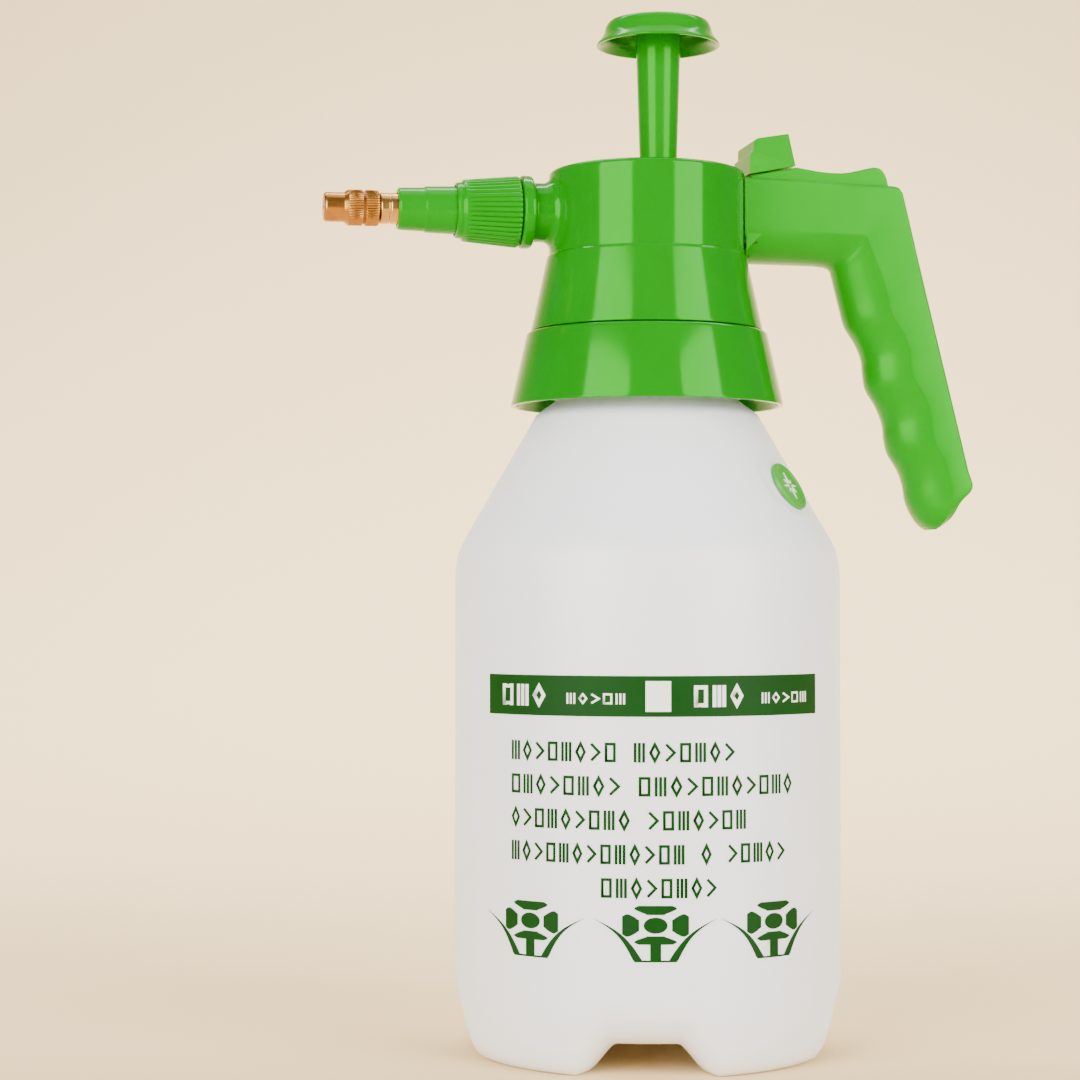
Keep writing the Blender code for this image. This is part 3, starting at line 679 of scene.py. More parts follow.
def slab(name: str, outline: Sequence[Point], half_width: float, rim: float, rim_steps: int = 4) -> bpy.types.Object:
    """A side outline made as thick as twice half_width, with its two rims rounded.

    Args:
        name: the piece's name.
        outline: closed outline of (x, z).
        half_width: half its width along Y.
        rim: size of the rims' rounding.
        rim_steps: pieces in that rounding.

    Returns:
        The object.
    """
    shape = bmesh.new()
    face = shape.faces.new([shape.verts.new(Vector((x, -half_width, z)) * MM) for x, z in outline])
    grown = bmesh.ops.extrude_face_region(shape, geom=[face])
    moved = [item for item in grown["geom"] if isinstance(item, bmesh.types.BMVert)]
    bmesh.ops.translate(shape, verts=moved, vec=(0, 2 * half_width * MM, 0))
    rims = [edge for edge in shape.edges if abs(edge.verts[0].co.y - edge.verts[1].co.y) < 1e-9]
    bmesh.ops.bevel(
        shape, geom=rims, offset=rim * MM, segments=rim_steps, profile=0.5, affect="EDGES", clamp_overlap=True
    )
    bmesh.ops.triangulate(shape, faces=[face for face in shape.faces if len(face.verts) > 4])
    bmesh.ops.recalc_face_normals(shape, faces=shape.faces)
    mesh = bpy.data.meshes.new(name)
    shape.to_mesh(mesh)
    shape.free()
    made = add_object(name, mesh)
    crisp(made, 40.0)
    return made


def carve(
    target: bpy.types.Object, operation: str, others: Sequence[bpy.types.Object], sharp: float = SHARP_DEG
) -> bpy.types.Object:
    """Cuts or joins other bodies and bakes the result.

    Args:
        target: the body that stays.
        operation: DIFFERENCE or UNION.
        others: bodies used up by it.
        sharp: angle above which an edge stays crisp.

    Returns:
        The target, with its new mesh.
    """
    target.modifiers.clear()
    for other in others:
        step = target.modifiers.new(other.name, "BOOLEAN")
        step.operation = operation
        step.solver = "MANIFOLD"
        step.object = other
    graph = bpy.context.evaluated_depsgraph_get()
    baked = bpy.data.meshes.new_from_object(target.evaluated_get(graph))
    target.modifiers.clear()
    target.data = baked
    for other in others:
        bpy.data.objects.remove(other, do_unlink=True)
    crisp(target, sharp)
    return target


def block(name: str, low: Corner, high: Corner) -> bpy.types.Object:
    """A box between two corners, used as a cutter or a neck."""
    corners = [(x, y, z) for x in (low[0], high[0]) for y in (low[1], high[1]) for z in (low[2], high[2])]
    faces = [(0, 1, 3, 2), (4, 6, 7, 5), (0, 4, 5, 1), (2, 3, 7, 6), (0, 2, 6, 4), (1, 5, 7, 3)]
    return make_object(name, corners, faces)


def bar(name: str, radius: float, start: Corner, end: Corner, steps: int = 40) -> bpy.types.Object:
    """A round bar between two points, used as a cutter or a post."""
    first, last = Vector(start), Vector(end)
    turn = (last - first).to_track_quat("Z", "Y")
    angles = [math.tau * step / steps for step in range(steps)]
    ring = [turn @ Vector((radius * math.cos(angle), radius * math.sin(angle), 0)) for angle in angles]
    return loft(name, [[place + spoke for spoke in ring] for place in (first, last)])


def dress(
    piece: bpy.types.Object, body: Body, finish: bpy.types.Material, nodes: Sequence[str] = ()
) -> None:
    """Gives a piece its finish and its body.

    Args:
        piece: the object.
        body: what it moves with.
        finish: its material.
        nodes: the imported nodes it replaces.
    """
    piece.data.materials.clear()
    piece.data.materials.append(finish)
    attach(piece, body.value)
    if nodes:
        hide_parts(*nodes)
    LOG.info("%s: %d faces on %s", piece.name, len(piece.data.polygons), body.value)


def smooth_step(value: float) -> float:
    """0 below 0, 1 above 1, and smooth between."""
    t = min(max(value, 0.0), 1.0)
    return t * t * (3 - 2 * t)


def curve_through(rows: Sequence[Sequence[float]], pieces: int) -> list[list[float]]:
    """Rows of numbers joined by a smooth curve.

    Args:
        rows: the given rows, all of one length.
        pieces: steps between two of them.

    Returns:
        The finer rows, the given ones among them.
    """
    ends = [[2 * a - b for a, b in zip(rows[0], rows[1])], *rows, [2 * a - b for a, b in zip(rows[-1], rows[-2])]]
    finer = []
    for span in range(len(rows) - 1):
        a, b, c, d = ends[span : span + 4]
        for step in range(pieces):
            t = step / pieces
            finer.append([
                0.5 * (2 * q + (r - p) * t + (2 * p - 5 * q + 4 * r - s) * t**2 + (3 * q - p - 3 * r + s) * t**3)
                for p, q, r, s in zip(a, b, c, d)
            ])
    finer.append(list(rows[-1]))
    return finer


# Finishes -----------------------------------------------------------------------------------------------------------


class Finishes:
    """Every finish of the sprayer, each built once from the shared groups."""

    # lighter green of the convex edges: wear and a painted highlight
    green_worn_lit_edge: Colour = (0.02, 0.30, 0.006)
    green_tint: Colour = (0.14, 1.0, 0.06)

    def __init__(self) -> None:
        """Builds the finishes."""
        self.groups = Groups()
        self.head = self.green("green_gloss", (0.001, 0.195, 0.003), (0.001, 0.170, 0.002), 0.10)
        self.handle = self.green("green_satin", (0.004, 0.235, 0.002), (0.003, 0.205, 0.002), 0.24, 0.03)
        self.knob = self.green("green_knob", (0.003, 0.215, 0.003), (0.002, 0.185, 0.002), 0.18)
        # its third colour is the lighter edge colour: wear and a painted highlight
        grey = MouldedPlastic("grey_acetal", (0.30, 0.31, 0.32), (0.26, 0.27, 0.28), (0.42, 0.43, 0.44), 0.42)
        brass = TurnedMetal("brass_bright", (0.72, 0.40, 0.11), (0.28, 0.11, 0.025), 0.20)
        warm_brass = TurnedMetal("brass_warm", (0.50, 0.22, 0.045), (0.16, 0.055, 0.012), 0.24)
        steel = TurnedMetal("steel_plated", (0.62, 0.62, 0.64), (0.34, 0.32, 0.30), 0.26, (0.02, 1.0, 0.02))
        rubber = PlainSkin("rubber_black", (0.020, 0.020, 0.022), (0.045, 0.045, 0.047), 0.62)
        ink = PlainSkin("ink_green", (0.0004, 0.038, 0.001), (0.0006, 0.048, 0.002), 0.50, 2600.0, 0.006, 0.12)
        pale_ink = PlainSkin("ink_pale", (0.78, 0.82, 0.78), (0.86, 0.89, 0.86), 0.42, 2600.0, 0.006)
        badge = PlainSkin("badge_green", (0.016, 0.290, 0.006), (0.024, 0.320, 0.009), 0.34, 1600.0, 0.01)
        self.grey, self.bottle, self.tube = (made.make(self.groups) for made in (grey, BlownBottle(), NaturalTube()))
        self.brass, self.brass_cap, self.steel = (made.make(self.groups) for made in (brass, warm_brass, steel))
        self.rubber, self.ink, self.pale_ink, self.badge = (
            made.make(self.groups) for made in (rubber, ink, pale_ink, badge)
        )

    def green(
        self, name: str, colour: Colour, shade: Colour, roughness: float, peel: float = 0.02
    ) -> bpy.types.Material:
        """One of the green plastics. They share their edge colour and the tint of their highlights."""
        plastic = MouldedPlastic(name, colour, shade, self.green_worn_lit_edge, roughness, peel, self.green_tint)
        return plastic.make(self.groups)



# Bottle -------------------------------------------------------------------------------------------------------------


OFF_SHOULDER = -1.0


@dataclass
class Bottle:
    """The blown bottle: threaded neck, sloping shoulder with its badge panel, straight wall and four-footed base.

    A ring is (radius, height, place up the shoulder, or OFF_SHOULDER).
    """

    radius: float = 56.86
    wall: float = 1.2
    turn_deg: float = -13.0
    feet: int = 4
    foot_flat_deg: float = 21.0
    foot_end_deg: float = 35.0
    steps: int = 320
    neck_radius: float = 26.95
    rim_z: float = 203.0
    thread_height: float = 1.2
    shoulder_z: float = 144.0
    shoulder_top: Point = (33.0, 186.5)
    panel_deg: float = -26.0
    panel_half_deg: float = 17.0
    panel_along: tuple[float, float] = (0.20, 0.76)
    panel_depth: float = 0.45
    panel_lean: Point = (0.73, 0.68)
    threads: tuple[float, float] = (197.7, 193.7)
    ground: float = 0.05
    badge_radius: float = 7.6
    badge_along: float = 0.48

    def foot_share(self, angle: float) -> float:
        """1 over a foot and 0 in a valley."""
        pitch = math.tau / self.feet
        off = math.degrees(abs(((angle - math.radians(self.turn_deg)) % pitch) - pitch / 2))
        return 1.0 - smooth_step((off - self.foot_flat_deg) / (self.foot_end_deg - self.foot_flat_deg))

    def panel_share(self, angle: float, along: float) -> float:
        """How far a place on the shoulder lies inside the badge's panel: 1 within it and 0 outside."""
        low, high = self.panel_along
        aside = math.degrees(angle) - self.turn_deg - self.panel_deg
        aside = (aside + 180.0) % 360.0 - 180.0
        level = (along - (low + high) / 2) / ((high - low) / 2)
        off = math.hypot(aside / self.panel_half_deg, level)
        return 1.0 - smooth_step((off - 0.86) / 0.16)

    def upper_rings(self) -> list[tuple[float, float, float]]:
        """The rings from the rim down to the wall's foot."""
        neck, crest, rim = self.neck_radius, self.neck_radius + self.thread_height, self.rim_z
        line = [(neck - 0.5, rim), (neck - 0.12, rim - 0.12), (neck, rim - 0.5)]
        thread = ((neck, 0.8), (neck + 0.35, 0.6), (crest, 0.12), (crest, -0.12), (neck + 0.35, -0.6), (neck, -0.8))
        line += [(radius, middle + off) for middle in self.threads for radius, off in thread]
        line += rounded([(neck, 192.0), (neck, 191.0, 0.9), (30.4, 188.6, 1.6), self.shoulder_top], closed=False)
        rings = [(radius, height, OFF_SHOULDER) for radius, height in line]
        bend, wall_top = (self.radius - 0.9, self.shoulder_z + 2.6, 5.0), (self.radius, self.shoulder_z - 4.0)
        shoulder = rounded([self.shoulder_top, bend, wall_top], False, 12)
        start, end = Vector(shoulder[0]), Vector(shoulder[1])
        for step in range(1, 41):
            spot = start.lerp(end, step / 40)
            rings.append((spot.x, spot.y, 1.0 - step / 40 * 0.94))
        rings += [(radius, height, OFF_SHOULDER) for radius, height in shoulder[2:]]
        rings += [(self.radius, height, OFF_SHOULDER) for height in (120.0, 96.0, 72.0, 48.0, 30.0)]
        return rings

    def base_rings(self) -> list[list[float]]:
        """(foot radius, foot height, valley radius, valley height), smoothly from the wall to the base's middle."""
        rough = [
            [self.radius, 24.0, self.radius, 26.0],
            [self.radius - 0.1, 15.5, self.radius - 0.1, 20.0],
            [55.6, 7.5, 55.1, 15.2],
            [53.4, 2.4, 52.0, 11.4],
            [50.0, 0.05, 48.0, 9.3],
            [43.5, 0.05, 42.0, 8.8],
            [36.0, 4.3, 35.0, 9.3],
            [26.0, 10.1, 26.0, 10.5],
            [14.0, 12.5, 14.0, 12.5],
            [2.0, 13.3, 2.0, 13.3],
        ]
        return [[foot_r, max(foot_z, self.ground), *valley] for foot_r, foot_z, *valley in curve_through(rough, 5)]

    def build(self) -> bpy.types.Object:
        """Makes the shell, its inner face included.

        Returns:
            The bottle.
        """
        angles = [math.tau * step / self.steps for step in range(self.steps)]
        rows = []
        for radius, height, along in self.upper_rings():
            row = []
            for angle in angles:
                sunk = 0.0 if along == OFF_SHOULDER else self.panel_depth * self.panel_share(angle, along)
                inward, down = (sunk * lean for lean in self.panel_lean)
                row.append(on_axis(Axis.BOTTLE, angle, radius - inward, height - down))
            rows.append(row)
        for foot_r, foot_z, valley_r, valley_z in self.base_rings():
            row = []
            for angle in angles:
                share = self.foot_share(angle)
                reach, height = valley_r + (foot_r - valley_r) * share, valley_z + (foot_z - valley_z) * share
                row.append(on_axis(Axis.BOTTLE, angle, reach, height))
            rows.append(row)
        shell = loft("bottle_shell", rows, (-1,), 46.0)
        facing_out = sum(face.normal.xy.dot(face.center.xy) for face in shell.data.polygons[: self.steps])
        if facing_out < 0:
            shell.data.flip_normals()
        thick = shell.modifiers.new("wall", "SOLIDIFY")
        thick.thickness = self.wall * MM
        thick.offset = -1.0
        return shell

    def badge_frame(self) -> Matrix:
        """The badge's place on the slope: its Z points out of the shoulder."""
        low = Vector((self.radius, 0, self.shoulder_z + 0.5))
        high = Vector((self.shoulder_top[0], 0, self.shoulder_top[1]))
        slope = (high - low).normalized()
        outward = Vector((slope.z, 0, -slope.x))
        turned = Matrix.Rotation(math.radians(self.turn_deg + self.panel_deg), 4, "Z")
        middle = low.lerp(high, self.badge_along) - outward * self.panel_depth
        across = Vector((0, 1, 0))
        axes = Matrix((across, slope, outward)).transposed().to_4x4()
        return turned @ Matrix.Translation(middle) @ axes

    def build_badge(self) -> bpy.types.Object:
        """Makes the round badge: a disc with a rim round its sunken face."""
        radius, rim, face = self.badge_radius, 1.35, 0.95
        outline = [
            (0.0, 0.0), (radius, 0.0, 0.2), (radius, rim, 0.5), (radius - 1.1, rim, 0.4), (radius - 1.5, face, 0.3),
            (0.0, face),
        ]  # fmt: skip
        axes = self.badge_frame()

        def place(angle: float, reach: float, height: float) -> Corner:
            """Puts a point of the disc on the slope."""
            return axes @ Vector((reach * math.cos(angle), reach * math.sin(angle), height))

        return spin("shoulder_badge_disc", rounded(outline, steps=4), 72, place)

    def build_star(self) -> bpy.types.Object:
        """Makes the badge's raised mark: eight pointed rays, long and short in turn."""
        corners, faces = [], []
        axes = self.badge_frame()
        rays, foot, top, half_turn = 8, 0.9, 1.25, 0.32
        for ray in range(rays):
            middle = math.tau * ray / rays
            tip = 4.6 if ray % 2 == 0 else 3.2
            first = len(corners)
            for level, inset in ((foot, 0.0), (top, 0.12)):
                wide = half_turn - inset * 0.6
                for off, radius in ((-wide, 1.5), (0.0, tip - inset * 3), (wide, 1.5), (0.0, 0.9)):
                    angle = middle + off
                    corners.append(axes @ Vector((radius * math.cos(angle), radius * math.sin(angle), level)))
            faces += [(first + i, first + (i + 1) % 4, first + 4 + (i + 1) % 4, first + 4 + i) for i in range(4)]
            faces += [(first + 3, first + 2, first + 1, first), (first + 4, first + 5, first + 6, first + 7)]
        return make_object("shoulder_badge_star", corners, faces)

    def dress(self, finishes: Finishes) -> None:
        """Builds and finishes the bottle and its badge.

        Args:
            finishes: the sprayer's finishes.
        """
        dress(self.build(), Body.SPRAYER, finishes.bottle, ["bottle"])
        dress(self.build_badge(), Body.SPRAYER, finishes.badge, ["shoulder_badge"])
        dress(self.build_star(), Body.SPRAYER, finishes.pale_ink)


class Ink(Enum):
    """The two inks of the print."""

    GREEN = "green"
    PALE = "pale"


class Mark(Enum):
    """Plain marks that stand in the rows of the print."""

    DIAMOND = "diamond"
    BARS = "bars"
    SQUARE = "square"
    CHEVRON = "chevron"


@dataclass
class Print:
    """The screen print on the bottle's front: a band, rows of plain marks and three flowers.

    Places are (along, up): along is the distance round the wall from the front, to the viewer's right.
    """

    radius: float = 56.90
    thickness: float = 0.03
    front_deg: float = -103.0
    cell: float = 1.4
    corners: dict[Ink, list[Corner]] = field(default_factory=lambda: {Ink.GREEN: [], Ink.PALE: []})
    faces: dict[Ink, list[tuple[int, ...]]] = field(default_factory=lambda: {Ink.GREEN: [], Ink.PALE: []})

    def on_wall(self, along: float, up: float, lift: float) -> Corner:
        """The point of the wall at a place, raised off it."""
        angle = math.radians(self.front_deg) + along / self.radius
        reach = self.radius + lift
        return reach * math.cos(angle), reach * math.sin(angle), up

    def strip(self, ink: Ink, rails: Sequence[tuple[Point, Point]]) -> None:
        """Adds a thin closed strip between two rails.

        Args:
            ink: its ink.
            rails: (point on one rail, point on the other) from one end to the other.
        """
        lift = self.thickness if ink is Ink.PALE else 0.0
        widest = max(abs(a[0] - b[0]) for a, b in rails)
        columns = max(1, math.ceil(widest / self.cell))
        start, points, faces = len(self.corners[ink]), self.corners[ink], self.faces[ink]
        for level in (lift, lift + self.thickness):
            for first, second in rails:
                for column in range(columns + 1):
                    t = column / columns
                    along, up = (a + (b - a) * t for a, b in zip(first, second))
                    points.append(self.on_wall(along, up, level))
        row, layer = columns + 1, (columns + 1) * len(rails)
        for i in range(len(rails) - 1):
            for j in range(columns):
                a = start + i * row + j
                faces.append((a, a + 1, a + row + 1, a + row))
                faces.append((a + layer, a + layer + row, a + layer + row + 1, a + layer + 1))
        rim = [i * row for i in range(len(rails))] + [(len(rails) - 1) * row + j for j in range(1, row)]
        rim += [i * row + columns for i in range(len(rails) - 2, -1, -1)] + list(range(columns - 1, 0, -1))
        for i, j in zip(rim, rim[1:] + rim[:1]):
            faces.append((start + i, start + j, start + layer + j, start + layer + i))

    def bar(self, ink: Ink, left: float, right: float, low: float, high: float) -> None:
        """Adds an upright-sided bar."""
        pieces = max(1, math.ceil((right - left) / self.cell))
        stops = [left + (right - left) * step / pieces for step in range(pieces + 1)]
        self.strip(ink, [((along, low), (along, high)) for along in stops])

    def leaf(self, foot: Point, tip: Point, half_width: float, bow: float) -> None:
        """Adds a blade of grass from a broad foot to a pointed tip, bowed aside by bow."""
        first, last = Vector(foot), Vector(tip)
        along = last - first
        aside = Vector((-along.y, along.x)).normalized()
        rails = []
        for step in range(17):
            t = step / 16
            middle = first + along * t + aside * bow * math.sin(math.pi * t)
            half = half_width * max((1 - t) ** 0.8, 0.04)
            rails.append(((middle.x - half, middle.y), (middle.x + half, middle.y)))
        self.strip(Ink.GREEN, rails)

    def petal(self, centre: Point, turn: int, near: Point, far: Point) -> None:
        """Adds a blunt petal.

        Args:
            centre: the flower's middle.
            turn: quarter turns from upright.
            near: (distance, half width) of its inner end.
            far: (distance, half width) of its outer end.
        """
        rails = []
        for step in range(9):
            t = step / 8
            out = near[0] + (far[0] - near[0]) * t
            corner = 1.0 - 0.22 * max(0.0, abs(2 * t - 1) - 0.55) / 0.45
            half = (near[1] + (far[1] - near[1]) * smooth_step(t * 1.4)) * corner
            sides = ((-half, out), (half, out))
            spun = [((a, b), (-b, a), (-a, -b), (b, -a))[turn] for a, b in sides]
            rails.append(tuple((centre[0] + a, centre[1] + b) for a, b in spun))
        self.strip(Ink.GREEN, rails)

    def disc(self, centre: Point, across: float, up: float) -> None:
        """Adds an oval dot."""
        rails = []
        for step in range(17):
            t = math.pi * step / 16
            left, half = -across * math.cos(t), max(up * math.sin(t), 0.02)
            rails.append(((centre[0] + left, centre[1] - half), (centre[0] + left, centre[1] + half)))
        self.strip(Ink.GREEN, rails)

    def stroke(self, ink: Ink, route: Sequence[Point], width: float, closed: bool = False) -> None:
        """Adds a line of even width along a route of points, mitred at its corners."""
        spots = [Vector(point) for point in route]
        count, rails = len(spots), []
        for index, spot in enumerate(spots):
            before = spots[index - 1] if closed or index else None
            after = spots[(index + 1) % count] if closed or index < count - 1 else None
            ways = [(spot - before).normalized()] if before is not None else []
            ways += [(after - spot).normalized()] if after is not None else []
            aside = sum((Vector((-way.y, way.x)) for way in ways), Vector((0.0, 0.0)))
            aside = aside / aside.dot(Vector((-ways[0].y, ways[0].x)))
            rails.append((tuple(spot - aside * width / 2), tuple(spot + aside * width / 2)))
        if closed:
            rails.append(rails[0])
        self.strip(ink, rails)

    def mark(
        self, ink: Ink, kind: Mark, left: float, low: float, width: float, height: float, weight: float
    ) -> None:
        """Adds one plain mark of a row.

        Args:
            ink: its ink.
            kind: its form.
            left: its left edge.
            low: its lower edge.
            width: its width.
            height: its height.
            weight: the width of its line.
        """
        half = weight / 2
        x0, x1, z0, z1 = left + half, left + width - half, low + half, low + height - half
        x, z = (x0 + x1) / 2, (z0 + z1) / 2
        if kind is Mark.DIAMOND:
            self.stroke(ink, [(x0, z), (x, z1), (x1, z), (x, z0)], weight, closed=True)
        elif kind is Mark.SQUARE:
            self.stroke(ink, [(x0, z0), (x0, z1), (x1, z1), (x1, z0)], weight, closed=True)
        elif kind is Mark.CHEVRON:
            self.stroke(ink, [(x0, z0), (x1, z), (x0, z1)], weight)
        else:
            for column in (x0, x, x1):
                self.stroke(ink, [(column, z0 - half), (column, z1 + half)], weight)

    def row(self, ink: Ink, span: Point, low: float, height: float, groups: Sequence[int], weight: float) -> None:
        """Adds a row of plain marks that fills the room of a line of lettering.

        Args:
            ink: its ink.
            span: where the row starts and ends.
            low: its lower edge.
            height: its height.
            groups: how many marks stand together, group by group.
            weight: the width of the marks' lines.
        """
        kinds = list(Mark)
        gap, filled = 0.9, 0.74
        places = sum(groups) + (len(groups) - 1) * gap
        pitch = (span[1] - span[0]) / places
        at, count = span[0], int(low)
        for together in groups:
            for _ in range(together):
                kind = kinds[(count * 3 if count % 3 else count // 3) % len(kinds)]
                self.mark(ink, kind, at, low, pitch * filled, height, weight)
                at += pitch
                count += 1
            at += pitch * gap

    def flower(self, x: float, z: float) -> None:
        """Adds a four-petalled flower on a short stem between two blades of grass.

        Args:
            x: its middle along the wall.
            z: the height of the flower's middle.
        """
        self.disc((x, z), 3.3, 2.2)
        self.petal((x, z), 0, (2.9, 3.0), (5.4, 5.9))
        self.petal((x, z), 2, (2.9, 3.0), (5.2, 5.9))
        for turn in (1, 3):
            self.petal((x, z), turn, (4.5, 1.9), (9.2, 3.1))
        foot = z - 10.0
        self.bar(Ink.GREEN, x - 1.5, x + 1.5, foot + 0.5, z - 5.0)
        self.bar(Ink.GREEN, x - 5.9, x + 5.9, foot, foot + 0.5)
        for side in (-1, 1):
            self.leaf((x + side * 4.9, foot + 0.4), (x + side * 17.2, z + 1.6), 1.25, side * 1.7)

    def build(self) -> dict[Ink, bpy.types.Object]:
        """Lays out the whole print.

        Returns:
            One object for each ink.
        """
        self.bar(Ink.GREEN, -51.0, 56.4, 100.0, 111.2)
        self.bar(Ink.PALE, -0.4, 6.6, 101.4, 109.8)
        big, small, text = (6.0, 1.1), (3.0, 0.55), (5.4, 0.8)
        lines = (
            (Ink.PALE, (-45.0, -28.0), 102.6, (3,), big),
            (Ink.PALE, (-22.8, -5.1), 103.4, (5,), small),
            (Ink.PALE, (13.0, 29.0), 102.6, (3,), big),
            (Ink.PALE, (33.7, 52.3), 103.4, (5,), small),
            (Ink.GREEN, (-41.4, 26.0), 87.5, (8, 7), text),
            (Ink.GREEN, (-41.4, 46.0), 78.2, (8, 11), text),
            (Ink.GREEN, (-41.4, 29.5), 68.9, (9, 7), text),
            (Ink.GREEN, (-41.4, 43.0), 59.6, (13, 1, 5), text),
            (Ink.GREEN, (-12.8, 20.5), 50.4, (8,), text),
        )
        for ink, span, low, groups, (height, weight) in lines:
            self.row(ink, span, low, height, groups, weight)
        for x in (-34.6, 2.3, 37.9):
            self.flower(x, 43.0)
        return {ink: make_object(f"print_{ink.value}", self.corners[ink], self.faces[ink], 60.0) for ink in Ink}

    def dress(self, finishes: Finishes) -> None:
        """Builds the print and gives each ink its finish.

        Args:
            finishes: the sprayer's finishes.
        """
        made = self.build()
        dress(made[Ink.GREEN], Body.SPRAYER, finishes.ink)
        dress(made[Ink.PALE], Body.SPRAYER, finishes.pale_ink)


# Collar, head and pump ----------------------------------------------------------------------------------------------


@dataclass
class Head:
    """The three green tiers: the collar that screws on the neck, and the head with its cone, drum and spout."""

    collar_bottom: float = 189.3
    collar_top: float = 211.3
    collar_low_radius: float = 40.4
    collar_high_radius: float = 35.6
    bottom: float = 211.6
    cone_radius: float = 34.4
    step_z: float = 233.6
    step_radius: float = 29.7
    radius: float = 29.1
    top: float = 259.1
    wall: float = 1.8
    spout_radius: float = 8.7
    spout_blend: float = 2.6
    guide_hole: float = 13.0

    def build_collar(self) -> bpy.types.Object:
        """Makes the skirt, its web and the threaded sleeve inside.

        Returns:
            The collar.
        """
        high, low, top, bottom = self.collar_high_radius, self.collar_low_radius, self.collar_top, self.collar_bottom
        inner, sleeve, crest, sleeve_out, sleeve_foot, web = 26.4, 28.7, 27.4, 31.0, 192.2, top - 2.8
        outline = [
            (inner, top, 0.2), (high, top, 1.2), (low, bottom + 0.6, 0.5), (low, bottom, 0.5), (low - 1.4, bottom, 0.4),
            (high - 1.5, web, 0.8), (sleeve_out, web, 0.5), (sleeve_out, sleeve_foot, 0.5), (sleeve, sleeve_foot, 0.5),
        ]  # fmt: skip
        for middle in (195.7, 199.7):
            outline += [(sleeve, middle - 0.9, 0.1), (crest, middle - 0.4, 0.1)]
            outline += [(crest, middle + 0.4, 0.1), (sleeve, middle + 0.9, 0.1)]
        outline += [(sleeve, web, 0.4), (inner, web, 0.2)]
        return lathe("collar_skirt", rounded(outline), Axis.BOTTLE, 192)

    def build_shell(self) -> bpy.types.Object:
        """Makes the cone and the drum, with the holes for the pump, the hoses and the screws.

        Returns:
            The head's shell.
        """
        wall, top, drum, step, step_z = self.wall, self.top, self.radius, self.step_radius, self.step_z
        cone, foot = self.cone_radius, self.bottom
        outline = [
            (0.0, top), (16.4, top), (17.0, top - 0.35, 0.3), (17.6, top, 0.3), (drum - 1.35, top, 0.35),
            (drum - 1.2, top - 0.3, 0.2), (drum - 0.95, top - 0.1, 0.25), (drum, top - 0.8, 0.9),
            (drum, step_z + 0.5, 0.25), (step, step_z, 0.3), (cone, foot + 0.5, 0.5), (cone, foot, 0.3),
            (cone - wall, foot, 0.3), (step - wall, step_z - 1.6, 0.8), (drum - wall, step_z + 0.4, 0.8),
            (drum - wall, top - wall, 1.0), (0.0, top - wall),
        ]  # fmt: skip
        shell = lathe("head_drum", rounded(outline), Axis.BOTTLE, 192)
        cutters = [
            bar("guide_hole", self.guide_hole, (PUMP_X, 0, 250), (PUMP_X, 0, 265), 96),
            block("hose_window", (20, -5.2, 234.8), (33, 5.2, 256.0)),
            bar("spout_way", 3.4, (-20, 0, NOZZLE_Z), (-40, 0, NOZZLE_Z), 40),
        ]
        for y in (-FIXING_ASIDE, FIXING_ASIDE):
            cutters.append(bar("fixing_hole", 1.5, (20, y, FIXING_Z), (33, y, FIXING_Z), 24))
        return carve(shell, "DIFFERENCE", cutters)

    def build_spout(self) -> bpy.types.Object:
        """Makes the spout: its root flows out of the drum, then a bead and the threaded end.

        Returns:
            The spout.
        """
        barrel, blend, pieces = self.spout_radius, self.spout_blend, 10
        root = []
        for part in range(pieces + 1):
            turn = math.pi / 2 * part / pieces
            sink = 0.02 * (pieces - part) / pieces
            root.append((barrel + blend * (1 - math.sin(turn)), blend * (1 - math.cos(turn)) - sink))
        outline = [
            (barrel, 32.5), (barrel, 34.6, 0.5), (9.6, 34.8, 0.3), (10.75, 35.3, 0.9), (10.75, 38.2, 0.9),
            (9.8, 38.6, 0.3), (7.4, 38.6, 0.2), (7.4, 43.2, 0.1), (6.9, 43.6, 0.1), (6.9, 44.6, 0.1), (7.4, 45.0, 0.1),
            (7.4, 47.2, 0.1), (6.9, 47.6, 0.1), (6.9, 48.6, 0.1), (7.4, 49.0, 0.1), (7.4, 51.2, 0.1), (6.6, 52.0, 0.2),
            (3.4, 52.0, 0.2), (3.4, 28.4),
        ]  # fmt: skip

        def place(angle: float, radius: float, height: float) -> Corner:
            """Counts the root's heights from the drum's round wall, and the rest from the bottle's line."""
            x, y, z = on_axis(Axis.NOZZLE, angle, radius, height)
            return (x - math.sqrt(self.radius**2 - y**2) if height <= blend else x), y, z

        return spin("head_spout", root + rounded(outline, closed=False), 96, place)

    def dress(self, finishes: Finishes) -> None:
        """Builds and finishes the tiers.

        Args:
            finishes: the sprayer's finishes.
        """
        dress(self.build_collar(), Body.COLLAR, finishes.head, ["screw_collar"])
        dress(self.build_shell(), Body.SPRAYER, finishes.head, ["head_shell"])
        dress(self.build_spout(), Body.SPRAYER, finishes.head)


